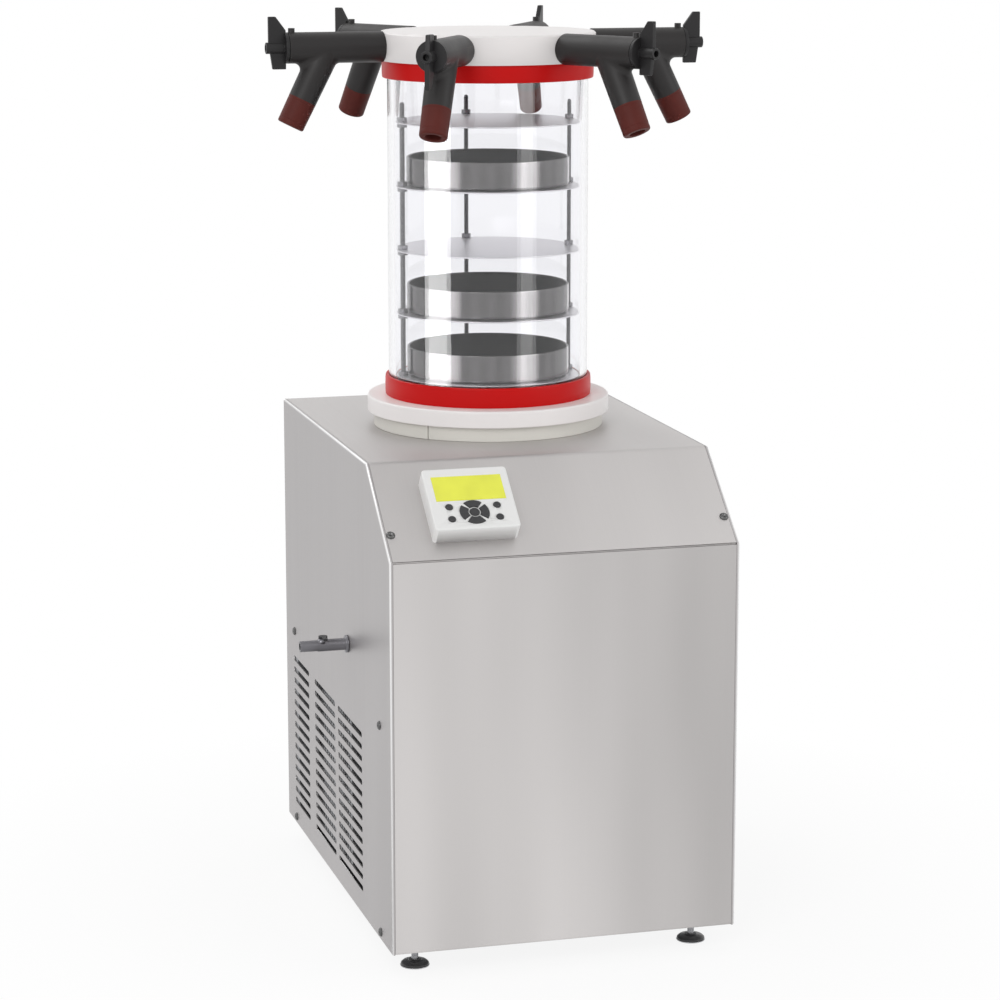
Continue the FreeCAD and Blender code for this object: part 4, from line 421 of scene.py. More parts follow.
    def _painted_bend_highlight(self, sheet: NodeSheet, entry: Sockets) -> tuple[Socket, ...]:
        """Give a mask of the painted highlight on the bends between a side face and the faces next to it.

        Args:
            sheet: The group's sheet.
            entry: The group's inputs.

        Returns:
            The mask.
        """
        square = sheet.math("POWER", sheet.math("ABSOLUTE", sheet.split(sheet.normal())[0]), 2.0)
        between = sheet.math("MULTIPLY", square, sheet.math("SUBTRACT", 1.0, square))
        bend = sheet.span(between, 0.0, 1.0, start=0.02, stop=0.2)
        broken_up = sheet.span(sheet.noise(entry["Vector"], self.HIGHLIGHT_BREAKUP_SCALE), 0.8, 1.0, start=0.3, stop=0.7)
        return (sheet.math("MULTIPLY", sheet.math("MULTIPLY", bend, broken_up), entry["Amount"]),)


# ------------------------------------------------------------------ finishes


@dataclass(frozen=True)
class Finish:
    """A surface finish: moulded plastic or paint with a fine grain.

    The other finishes change how the grain runs or what the surface is.
    """

    name: str
    slot: str
    colour: Colour
    roughness: float = 0.45
    spread: float = 0.12
    metallic: float = 0.0
    drift: float = 0.05
    drift_scale: float = 9.0
    grain_scale: float = 1400.0
    grain_depth: float = 0.05
    grain_height: float = 0.0002
    coat: float = 0.0
    dust: float = 0.0
    dust_roughness: float = 0.5
    sheen: float = 0.0
    specular: float = 0.5
    # painted reflection bands round a round wall and painted shade inside it: their depth, phase and strength
    painted_streaks: float = 0.0
    painted_streak_phase: float = 0.0
    painted_inside_shade: float = 0.0
    # strength of the painted highlight on bends
    painted_bend_light: float = 0.0
    effect: Effect = Effect.FINE_GRAIN
    centre: tuple[float, float, float] = (0.0, 0.0, 0.0)
    turned: tuple[float, float, float] = (0.0, 0.0, 0.0)
    stretch: tuple[float, float, float] = (1.0, 1.0, 1.0)

    def build(self, effects: EffectLibrary) -> bpy.types.Material:
        """Make the material.

        Args:
            effects: The shared node groups.

        Returns:
            The new material.
        """
        material = bpy.data.materials.new(self.name)
        material.use_nodes = True
        material.diffuse_color = (*self.colour, 1.0)
        shader = material.node_tree.nodes["Principled BSDF"]
        self.shade(NodeSheet(material.node_tree), shader, effects)
        return material

    def place(self, sheet: NodeSheet) -> Socket:
        """Centre, turn and stretch the object coordinates on the piece.

        Args:
            sheet: The material's node sheet.

        Returns:
            The coordinates' socket.
        """
        feeds = {
            "Vector": sheet.add("ShaderNodeTexCoord").outputs["Object"],
            "Location": tuple(-value for value in self.centre),
            "Rotation": self.turned,
            "Scale": self.stretch,
        }
        return sheet.add("ShaderNodeMapping", feeds).outputs["Vector"]

    def tint(self, sheet: NodeSheet, effects: EffectLibrary, vector: Socket) -> Socket:
        """Give the colour with its slow changes of lightness."""
        values = {"Vector": vector, "Colour": self.colour, "Depth": self.drift, "Scale": self.drift_scale}
        return effects.place(sheet, Effect.TONE_DRIFT, **values)["Colour"]

    def grain(self, sheet: NodeSheet, effects: EffectLibrary, vector: Socket) -> Sockets:
        """Give the grain's height and the roughness that goes with it."""
        values = {"Scale": self.grain_scale, "Roughness": self.roughness, "Spread": self.spread}
        return effects.place(sheet, self.effect, Vector=vector, **values)

    def shade(self, sheet: NodeSheet, shader: bpy.types.Node, effects: EffectLibrary) -> None:
        """Wire the finish into its shader.

        Args:
            sheet: The material's node sheet.
            shader: The Principled BSDF node.
            effects: The shared node groups.
        """
        vector = self.place(sheet)
        colour = self.tint(sheet, effects, vector)
        grain = self.grain(sheet, effects, vector)
        roughness = grain["Roughness"]
        # paint reflection bands round the wall and shade inside it
        if self.painted_streaks > 0.0:
            colour = effects.place(
                sheet, Effect.PAINTED_REFLECTION_SHADE, Vector=vector, Colour=colour, Depth=self.painted_streaks,
                Phase=self.painted_streak_phase, Shade=self.painted_inside_shade,
            )["Colour"]
        # paint a highlight on the bends, blended towards white
        if self.painted_bend_light > 0.0:
            mask = effects.place(sheet, Effect.PAINTED_BEND_HIGHLIGHT, Vector=vector, Amount=self.painted_bend_light)["Mask"]
            colour = sheet.blend(mask, colour, WHITE)
        if self.dust > 0.0:
            mask = effects.place(sheet, Effect.SETTLED_DUST, Vector=vector, Amount=self.dust)["Mask"]
            colour = sheet.blend(mask, colour, DUST_GREY)
            roughness = sheet.math("ADD", roughness, sheet.math("MULTIPLY", mask, self.dust_roughness))
        bump = sheet.add("ShaderNodeBump", {
            "Strength": self.grain_depth, "Distance": self.grain_height, "Height": grain["Height"],
        })
        sheet.supply(shader, {
            "Base Color": colour, "Roughness": roughness, "Normal": bump.outputs["Normal"],
            "Metallic": self.metallic, "Coat Weight": self.coat, "Sheen Weight": self.sheen,
            "Specular IOR Level": self.specular,
        })


@dataclass(frozen=True)
class ClearPlastic(Finish):
    """Polished clear acrylic."""

    refraction: float = 1.49

    def shade(self, sheet: NodeSheet, shader: bpy.types.Node, effects: EffectLibrary) -> None:
        """Wire the clear plastic, with faint wipe marks in its roughness."""
        vector = self.place(sheet)
        sheet.supply(shader, {
            "Base Color": self.tint(sheet, effects, vector),
            "Roughness": self.grain(sheet, effects, vector)["Roughness"],
            "Transmission Weight": 1.0,
            "IOR": self.refraction,
        })


@dataclass(frozen=True)
class LitDisplay(Finish):
    """A backlit liquid-crystal display with faint rows of darker dots."""

    glow: float = 0.12
    pitch: float = 1300.0
    dot_share: float = 0.10
    dot_tone: float = 0.6

    def shade(self, sheet: NodeSheet, shader: bpy.types.Node, effects: EffectLibrary) -> None:
        """Wire the display's colour, its dot rows and its backlight.

        Args:
            sheet: The material's node sheet.
            shader: The Principled BSDF node.
            effects: The shared node groups.
        """
        vector = self.place(sheet)
        across, up, _ = sheet.split(vector)
        columns, rows = (
            sheet.math("SINE", sheet.math("MULTIPLY", way, self.pitch * math.pi)) for way in (across, up)
        )
        dots = sheet.span(sheet.math("MULTIPLY", columns, rows), 0.0, self.dot_share, start=0.1, stop=0.5)
        darker = tuple(self.dot_tone * channel for channel in self.colour)
        colour = sheet.blend(dots, self.tint(sheet, effects, vector), darker)
        sheet.supply(shader, {
            "Base Color": colour, "Emission Color": colour, "Emission Strength": self.glow,
            "Roughness": self.roughness, "Coat Weight": self.coat,
        })


class Finishes:
    """Every finish of the freeze dryer."""

    # painted light: the front sheet's strong drift, stretched to change mostly from side to side, paints a
    # broad gradient, lighter to one side, that stands in for the key light's reflection; the hood's weaker
    # drift, stretched the other way, paints the same kind of gradient across the hood
    FRONT_SHEET = Finish(
        "brushed_front_sheet", "cabinet_steel", tone(198, 195, 194), roughness=0.42, spread=0.14,
        metallic=0.85, drift=1.2, drift_scale=4.0, grain_scale=700.0, grain_depth=0.10, effect=Effect.BRUSHED,
        dust=0.03, stretch=(-1.0, 0.15, 0.15),
    )
    HOOD_SHEET = replace(
        FRONT_SHEET, name="brushed_hood_sheet", colour=tone(201, 198, 197), roughness=0.48, drift=0.6,
        stretch=(1.0, 0.15, 0.15),
    )
    # the side sheet carries a painted highlight on its folded bends
    SIDE_SHEET = replace(
        FRONT_SHEET, name="brushed_side_sheet", colour=tone(178, 175, 175), drift=0.25, dust=0.0,
        turned=(0.0, 0.0, QUARTER_TURN), stretch=(0.15, 1.0, 0.15), painted_bend_light=0.75,
    )
    FRAME_ZINC = Finish(
        "zinc_coated_steel", "frame_steel", tone(150, 152, 155), roughness=0.5, spread=0.3, metallic=0.8,
        drift=0.35, drift_scale=60.0, grain_scale=500.0, dust=0.25,
    )
    BLACKENED = Finish(
        "blackened_screw", "screw_steel", tone(100, 100, 100), roughness=0.38, spread=0.2, metallic=0.9,
        drift=0.2, drift_scale=200.0, grain_scale=2200.0,
    )
    FOOT_PLASTIC = Finish(
        "moulded_foot", "foot_plastic", tone(50, 50, 52), roughness=0.28, spread=0.15, drift=0.1,
        grain_scale=1800.0, dust=0.12,
    )
    BRIGHT_STEEL = Finish(
        "bright_steel", "bright_steel", tone(196, 196, 198), roughness=0.22, spread=0.15, metallic=1.0,
        drift=0.08, drift_scale=40.0, grain_scale=1500.0,
    )
    ROD_STEEL = replace(
        BRIGHT_STEEL, name="threaded_rod_steel", colour=tone(118, 117, 121), roughness=0.3, drift=0.2,
        drift_scale=60.0,
    )
    VALVE_PLASTIC = Finish(
        "moulded_valve", "black_plastic", tone(40, 38, 38), roughness=0.46, spread=0.18, drift=0.18,
        drift_scale=30.0, grain_scale=1600.0, grain_depth=0.12, dust=0.04, specular=0.3,
    )
    PLUG_PLASTIC = replace(
        VALVE_PLASTIC, name="moulded_plug", slot="plug_plastic", colour=tone(36, 35, 36), roughness=0.40,
        drift=0.15, drift_scale=40.0, grain_depth=0.10,
    )
    SLEEVE_RUBBER = Finish(
        "red_brown_sleeve", "sleeve_rubber", tone(86, 33, 27), roughness=0.58, spread=0.2, drift=0.35,
        drift_scale=45.0, grain_scale=1300.0, grain_depth=0.15, sheen=0.03, specular=0.2,
    )
    CASE_WHITE = Finish(
        "controller_case", "controller_white", tone(239, 239, 238), roughness=0.4, spread=0.1, drift=0.02,
        grain_scale=2200.0, grain_depth=0.08, dust=0.03,
    )
    DISPLAY = LitDisplay(
        "lit_display", "display_yellow", tone(226, 229, 70), roughness=0.16, drift=0.30, drift_scale=28.0,
        coat=0.15,
    )
    KEY_RUBBER = Finish(
        "soft_key", "key_rubber", tone(48, 48, 50), roughness=0.6, spread=0.15, drift=0.12, drift_scale=120.0,
        grain_scale=2600.0, grain_depth=0.12, sheen=0.1,
    )
    POLYMER = Finish(
        "machined_polymer", "white_plastic", tone(243, 239, 238), roughness=0.38, spread=0.14, drift=0.025,
        drift_scale=12.0, grain_scale=900.0, effect=Effect.SPUN_RINGS, dust=0.04,
    )
    TRIM_POLYMER = replace(
        POLYMER, name="trim_ring_polymer", colour=tone(221, 219, 212), roughness=0.42, drift=0.03, dust=0.08,
    )
    SEAL_RED = Finish(
        "red_silicone", "red_rubber", tone(200, 8, 8), roughness=0.40, spread=0.2, drift=0.12,
        drift_scale=14.0, grain_scale=1100.0, grain_depth=0.06, specular=0.18,
    )
    TUBE = ClearPlastic(
        "clear_acrylic", "clear_acrylic", tone(250, 250, 252), roughness=0.015, spread=0.02, drift=0.01,
        grain_scale=60.0,
    )
    # the tray steel carries painted reflection bands fixed round the tray, and painted shade on its inside
    # and floor
    TRAY_STEEL = Finish(
        "spun_tray_steel", "tray_steel", tone(242, 238, 237), roughness=0.24, spread=0.16, metallic=1.0,
        drift=0.16, drift_scale=16.0, grain_scale=1400.0, grain_depth=0.08, effect=Effect.SPUN_RINGS,
        painted_streaks=0.82, painted_streak_phase=0.964, painted_inside_shade=0.82,
    )
    SHELF_STEEL = Finish(
        "shelf_steel", "bright_steel", tone(226, 224, 227), roughness=0.36, spread=0.15, metallic=0.9,
        drift=0.06, drift_scale=16.0, grain_scale=1200.0, effect=Effect.SPUN_RINGS,
    )
    FOAM = Finish(
        "closed_cell_foam", "black_foam", tone(46, 46, 47), roughness=0.8, spread=0.15, drift=0.3,
        drift_scale=50.0, grain_scale=900.0, grain_depth=0.5,
    )
    ENAMEL = Finish(
        "gloss_black_enamel", "compressor_paint", tone(34, 34, 35), roughness=0.22, drift=0.15,
        grain_scale=300.0, coat=0.5, dust=0.3,
    )
    FIN_METAL = Finish(
        "condenser_fins", "fin_aluminium", tone(170, 172, 175), roughness=0.42, spread=0.2, metallic=0.9,
        drift=0.25, drift_scale=70.0, grain_scale=1200.0, effect=Effect.BRUSHED,
    )
    FAN_PLASTIC = Finish(
        "fan_plastic", "fan_plastic", tone(44, 44, 46), spread=0.15, drift=0.15,
        grain_scale=1500.0, dust=0.2,
    )
    SWITCH_BLACK = Finish(
        "switch_rocker", "rocker_black", tone(30, 30, 32), roughness=0.25, spread=0.1, drift=0.1,
        grain_scale=1500.0, coat=0.2,
    )
    FITTING_BLACK = Finish(
        "moulded_fitting", "black_plastic", tone(40, 40, 42), spread=0.15, drift=0.12,
        grain_scale=1500.0,
    )


# ------------------------------------------------------------------ workshop


@dataclass(frozen=True)
class Extent:
    """The box that a node, or one of its separate solids, fills."""

    low: Vector
    high: Vector

    @classmethod
    def of(cls, node: str) -> "Extent":
        """Read a node's box at rest."""
        low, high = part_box(node)
        return cls(Vector(low), Vector(high))

    @property
    def centre(self) -> Vector:
        """Give the middle of the box."""
        return (self.low + self.high) / 2.0

    @property
    def size(self) -> Vector:
        """Give the box's length along each axis."""
        return self.high - self.low

    @property
    def radius(self) -> float:
        """Give half the box's width."""
        return self.size.x / 2.0

    @property
    def foot(self) -> Vector:
        """Give the middle of the box's lower face."""
        return Vector((self.centre.x, self.centre.y, self.low.z))

    @property
    def axis(self) -> Vector:
        """Give the place of the box's upright axis on the floor."""
        return Vector((self.centre.x, self.centre.y, 0.0))


def placed(shape: Shape, matrix: Matrix) -> Shape:
    """Move a shape and give it back."""
    bmesh.ops.transform(shape, matrix=matrix, verts=shape.verts)
    return shape


def arc(middle: tuple[float, float], radius: float, start: float, stop: float, steps: int) -> Profile:
    """Give the points of an arc about its middle, from the angle start to the angle stop."""
    angles = [start + (stop - start) * step / steps for step in range(steps + 1)]
    return [(middle[0] + radius * math.cos(angle), middle[1] + radius * math.sin(angle)) for angle in angles]


def swept(
    outline: Profile, angle: float, steps: int, rise: float = 0.0, closed: bool = True, merged: bool = False
) -> Shape:
    """Sweep an outline about an upright axis.

    Args:
        outline: The section's corners as radius and height.
        angle: The swept angle.
        steps: How many steps the sweep has.
        rise: How far each step climbs.
        closed: Whether the outline's last corner joins its first.
        merged: Whether the sweep's end joins its start.

    Returns:
        The swept faces.
    """
    shape = bmesh.new()
    corners = [shape.verts.new((radius, 0.0, height)) for radius, height in outline]
    after = corners[1:] + corners[:1] if closed else corners[1:]
    sides = [shape.edges.new(pair) for pair in zip(corners, after)]
    bmesh.ops.spin(
        shape, geom=corners + sides, axis=(0.0, 0.0, 1.0), cent=(0.0, 0.0, 0.0), dvec=(0.0, 0.0, rise),
        angle=angle, steps=steps, use_merge=merged, use_duplicate=False,
    )
    return shape


def capped(shape: Shape) -> Shape:
    """Close a shape's open ends and give it back."""
    bmesh.ops.holes_fill(shape, edges=[edge for edge in shape.edges if edge.is_boundary], sides=0)
    return shape


def lathe(
    outline: Profile, centre: Vector = Vector(), steps: int = 128, sweep: float = FULL_TURN,
    start: float = 0.0,
) -> Shape:
    """Turn a closed outline about an upright axis.

    Args:
        outline: The section's corners as radius and height.
        centre: The axis's foot, from which heights count.
        steps: How many steps the sweep has.
        sweep: The swept angle.
        start: The angle at which the sweep starts.

    Returns:
        The turned shape.
    """
    full = math.isclose(sweep, FULL_TURN)
    shape = swept(outline, sweep, steps, merged=full)
    bmesh.ops.remove_doubles(shape, verts=shape.verts, dist=WELD_DISTANCE)
    bmesh.ops.dissolve_degenerate(shape, edges=shape.edges, dist=WELD_DISTANCE)
    if not full:
        capped(shape)
    bmesh.ops.recalc_face_normals(shape, faces=shape.faces)
    return placed(shape, Matrix.Translation(centre) @ Matrix.Rotation(start, 4, "Z"))


def raised(shape: Shape, geometry: Iterable[Any], height: float) -> None:
    """Lift the corners among some geometry of a shape."""
    corners = [item for item in geometry if isinstance(item, bmesh.types.BMVert)]
    bmesh.ops.translate(shape, verts=corners, vec=(0.0, 0.0, height))


def plate(outline: Profile, thickness: float) -> Shape:
    """Raise a flat outline into a plate that is centred on its plane.

    Args:
        outline: The corners in the XY plane.
        thickness: The plate's thickness along Z.

    Returns:
        The plate.
    """
    shape = bmesh.new()
    face = shape.faces.new([shape.verts.new((across, up, -thickness / 2.0)) for across, up in outline])
    raised(shape, bmesh.ops.extrude_face_region(shape, geom=[face])["geom"], thickness)
    bmesh.ops.recalc_face_normals(shape, faces=shape.faces)
    return shape


def soften(shape: Shape, width: float, segments: int = 2, sharper_than: float = 35.0) -> Shape:
    """Round a shape's sharp edges.

    Args:
        shape: The shape.
        width: The rounding's width.
        segments: How many faces the rounding has.
        sharper_than: The least angle of an edge that is rounded, in degrees.

    Returns:
        The same shape.
    """
    limit = math.radians(sharper_than)
    sharp = [edge for edge in shape.edges if len(edge.link_faces) == 2 and edge.calc_face_angle() > limit]
    bmesh.ops.bevel(
        shape, geom=sharp, offset=width, offset_type="OFFSET", segments=segments, profile=0.5,
        affect="EDGES", clamp_overlap=True, material=-1,
    )
    return shape


def disc(spot: Extent, height: float, edge: float, steps: int = 128) -> Shape:
    """Turn a plain disc as wide as an extent, with softened rims."""
    outline = [(0.0, 0.0), (spot.radius, 0.0), (spot.radius, height), (0.0, height)]
    return soften(lathe(outline, spot.foot, steps), edge)


def joined(shapes: Iterable[Shape]) -> Shape:
    """Gather several shapes into one.

    Args:
        shapes: The shapes, which are used up.

    Returns:
        The gathered shape.
    """
    whole = bmesh.new()
    carrier = bpy.data.meshes.new("carrier")
    for shape in shapes:
        shape.to_mesh(carrier)
        shape.free()
        whole.from_mesh(carrier)
    bpy.data.meshes.remove(carrier)
    return whole


def hexagon(across_flats: float, height: float, turn: float = 0.0) -> Shape:
    """Make a hexagonal nut or head, corners along Y, its foot at the origin, its rims softened.

    Args:
        across_flats: The width across its flats.
        height: Its height.
        turn: Its turn about Z.

    Returns:
        The hexagon.
    """
    shape = bmesh.new()
    corner = across_flats / math.sqrt(3.0)
    bmesh.ops.create_cone(
        shape, cap_ends=True, cap_tris=False, segments=6, radius1=corner, radius2=corner, depth=height
    )
    placed(shape, Matrix.Translation((0.0, 0.0, height / 2.0)) @ Matrix.Rotation(turn, 4, "Z"))
    return soften(shape, across_flats * 0.04, segments=1)


def thread(radius: float, pitch: float, low: float, high: float, steps: int = 12) -> Shape:
    """Wind a screw thread about Z, in short lengths that meet end to end.

    Args:
        radius: The thread's outer radius.
        pitch: Its pitch.
        low: The height at which it starts.
        high: The height at which it ends.
        steps: How many steps each turn has.

    Returns:
        The threaded bar, closed at both ends.
    """
    root = radius - 0.6 * pitch
    turns = max(1, int((high - low) / pitch) - 1)
    length = min(turns, 8)
    turns -= turns % length
    tooth = [
        (root, low), (radius, low + 0.45 * pitch), (radius, low + 0.55 * pitch), (root, low + pitch),
    ]
    shape = swept(tooth, length * FULL_TURN, length * steps, rise=pitch / steps, closed=False)
    first = list(shape.verts) + list(shape.edges) + list(shape.faces)
    for count in range(1, turns // length):
        raised(shape, bmesh.ops.duplicate(shape, geom=first)["geom"], count * length * pitch)
    bmesh.ops.remove_doubles(shape, verts=shape.verts, dist=WELD_DISTANCE)
    bmesh.ops.recalc_face_normals(capped(shape), faces=shape.faces)
    bar, tip = root * 0.98, root * 0.6
    outline = [(0.0, low), (bar, low), (bar, high - 0.3 * radius), (tip, high), (0.0, high)]
    return joined([shape, lathe(outline, steps=24)])


def linked(item: bpy.types.Object) -> bpy.types.Object:
    """Put an object into the scene and give it back."""
    bpy.context.scene.collection.objects.link(item)
    return item


def stood(name: str, shape: Shape, material: bpy.types.Material) -> bpy.types.Object:
    """Make a shape an object of the scene.

    Args:
        name: The object's name.
        shape: The shape, which is used up.
        material: Its material.

    Returns:
        The object.
    """
    mesh = bpy.data.meshes.new(name)
    shape.to_mesh(mesh)
    shape.free()
    mesh.materials.append(material)
    return linked(bpy.data.objects.new(name, mesh))


def named(rows: Iterable[Mapping[str, Any]], name: str) -> Mapping[str, Any]:
    """Find the row that has a name."""
    return next(row for row in rows if row["name"] == name)


class Dresser:
    """Turns shapes into pieces of the scene, and dresses the frame's nodes."""

    def __init__(self, frame: Mapping[str, Any]) -> None:
        """Start with the loaded frame.
        """
        self.frame = frame
        self.effects = EffectLibrary()
        self._materials: dict[str, bpy.types.Material] = {}

    def material(self, finish: Finish) -> bpy.types.Material:
        """Give a finish's material, built once.

        Args:
            finish: The finish.

        Returns:
            Its material.
        """
        if finish.name not in self._materials:
            if finish.effect is Effect.SPUN_RINGS:
                finish = replace(finish, centre=tuple(Extent.of("chamber_tube").axis))
            self._materials[finish.name] = finish.build(self.effects)
        return self._materials[finish.name]

    def joint(self, name: str) -> Mapping[str, Any]:
        """Find a joint's row."""
        return named(self.frame["joints"], name)

    def mount(self, name: str) -> Mapping[str, Any]:
        """Find a mount's row."""
        return named(self.frame["record"]["mounts"], name)

    def copy(self, node: str) -> Shape:
        """Copy a node's mesh and close its seams.

        Args:
            node: The node's name.

        Returns:
            The copied shape.
        """
        shape = bmesh.new()
        shape.from_mesh(self.frame["nodes"][node].data)
        bmesh.ops.remove_doubles(shape, verts=shape.verts, dist=WELD_DISTANCE)
        return shape

    def solids(self, node: str) -> list[Extent]:
        """Find the extents of a node's separate solids.

        Args:
            node: The node's name.

        Returns:
            One extent for each solid.
        """
        shape = self.copy(node)
        waiting = set(shape.verts)
        found = []
        while waiting:
            fresh = [waiting.pop()]
            group = list(fresh)
            while fresh:
                vertex = fresh.pop()
                near = {edge.other_vert(vertex) for edge in vertex.link_edges} & waiting
                waiting -= near
                fresh.extend(near)
                group.extend(near)
            spots = [vertex.co for vertex in group]
            found.append(Extent(*(Vector([pick(line) for line in zip(*spots)]) for pick in (min, max))))
        shape.free()
        return sorted(found, key=lambda extent: tuple(round(value, 4) for value in extent.centre))

    def publish(
        self, name: str, shape: Shape, finish: Finish, nodes: Sequence[str] = (), body: str = ROOT,
        sharp: float = 35.0,
    ) -> None:
        """Make a shape a piece of the scene.

        Args:
            name: The piece's name.
            shape: The shape, which is used up.
            finish: Its finish.
            nodes: The nodes that it stands for.
            body: The body that it rides on.
            sharp: The angle from which an edge stays sharp, in degrees.
        """
        piece = stood(name, shape, self.material(finish))
        piece.data.shade_smooth()
        piece.data.set_sharp_from_angle(angle=math.radians(sharp))
        normals = piece.modifiers.new("even_faces", "WEIGHTED_NORMAL")
        normals.mode = "FACE_AREA_WITH_ANGLE"
        normals.keep_sharp = True
        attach(piece, body)
        if nodes:
            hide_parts(*nodes)
        LOG.info("made %s, %d faces, riding on %s", name, len(piece.data.polygons), body)

    def refine(self, node: str, finish: Finish, body: str = ROOT) -> None:
        """Stand a smooth-shaded copy in for a node, riding on a body."""
        self.publish(f"{node}_finished", self.copy(node), finish, (node,), body, sharp=30.0)

    def carry(self, node: str, finish: Finish) -> None:
        """Give a node that stays as it is its finish.

        Args:
            node: The node's name.
            finish: Its finish.
        """
        mesh = self.frame["nodes"][node].data
        mesh.materials.clear()
        mesh.materials.append(self.material(finish))
        LOG.info("dressed %s", node)


# --------------------------------------------------------------- the cabinet


@dataclass
class Cabinet:
    """The sheet-steel cabinet: folded panels, hood, inner frame and screws."""

    dresser: Dresser
    seam: float = 3 * MM
    step_setback: float = 2.2 * MM
    step_depth: float = 5 * MM
    sheets: tuple[tuple[str, Finish], ...] = (
        ("hood", Finishes.HOOD_SHEET),
        ("front_panel", Finishes.FRONT_SHEET),
        ("rear_panel", Finishes.FRONT_SHEET),
        ("left_side_panel", Finishes.SIDE_SHEET),
        ("right_side_panel", Finishes.SIDE_SHEET),
        ("chassis_tray", Finishes.FRAME_ZINC),
        ("frame_uprights", Finishes.FRAME_ZINC),
        ("panel_screws", Finishes.BLACKENED),
    )

    def build(self) -> None:
        """Make the panels, the inner frame and the screws."""
        for node, finish in self.sheets:
            self.dresser.refine(node, finish)
        self.build_step()

    def build_step(self) -> None:
        """Add the front panel's stepped edge, which reaches behind the hood and closes the seam."""
        panel = Extent.of("front_panel")
        near = panel.low.y + self.step_setback
        far = near + self.step_depth
        corners = [(panel.low.x, near), (panel.high.x, near), (panel.high.x, far), (panel.low.x, far)]
        shape = placed(
            plate(corners, self.seam), Matrix.Translation((0.0, 0.0, panel.high.z + self.seam / 2.0))
        )
        self.dresser.publish("front_panel_step", shape, Finishes.FRONT_SHEET)


@dataclass
class LevellingFeet:
    """Four levelling feet, each a moulded pad, a hexagon and a threaded stud."""

    dresser: Dresser
    node: str = "levelling_feet"
    pad_height: float = 6 * MM
    pad_inset: float = 0.6 * MM
    pad_edge: float = 0.5 * MM
    rim_height: float = 1.2 * MM
    rim_edge: float = 0.35 * MM
    hexagon_width: float = 15 * MM
    hexagon_height: float = 5 * MM
    stud_radius: float = 4 * MM
    stud_pitch: float = 1.25 * MM
    stud_reach: float = 12 * MM
    steps: int = 64

    def build(self) -> None:
        """Make the pads, their bright rims and the studs."""
        for name, make, finish in (
            ("foot_pads", self.pad, Finishes.FOOT_PLASTIC),
            ("foot_rims", self.rim, Finishes.BRIGHT_STEEL),
            ("foot_studs", self.stud, Finishes.BRIGHT_STEEL),
        ):
            shapes = [make(spot) for spot in self.dresser.solids(self.node)]
            self.dresser.publish(name, joined(shapes), finish, (self.node,))

    def pad(self, spot: Extent) -> Shape:
        """Turn one pad.

        Args:
            spot: The foot's extent.

        Returns:
            The pad.
        """
        edge, collar = spot.radius - self.pad_inset, self.pad_height * 1.25
        shape = lathe([
            (0.0, self.rim_height), (edge, self.rim_height), (edge, self.pad_height * 0.55),
            (edge * 0.84, self.pad_height * 0.9), (self.stud_radius * 1.9, self.pad_height),
            (self.stud_radius * 1.7, collar), (0.0, collar),
        ], spot.foot, self.steps)
        return soften(shape, self.pad_edge)

    def rim(self, spot: Extent) -> Shape:
        """Turn the bright plate under one pad."""
        return disc(spot, self.rim_height, self.rim_edge, self.steps)

    def stud(self, spot: Extent) -> Shape:
        """Wind one stud and set its hexagon under the cabinet's floor.

        Args:
            spot: The foot's extent.

        Returns:
            The stud with its hexagon.
        """
        top = spot.high.z
        bar = thread(self.stud_radius, self.stud_pitch, self.pad_height * 1.2, top)
        seat = Vector((0.0, 0.0, top - self.stud_reach - self.hexagon_height))
        nut = hexagon(self.hexagon_width, self.hexagon_height)
        return joined([
            placed(bar, Matrix.Translation(spot.axis)), placed(nut, Matrix.Translation(spot.axis + seat)),
        ])


# ------------------------------------------------------------ control panel


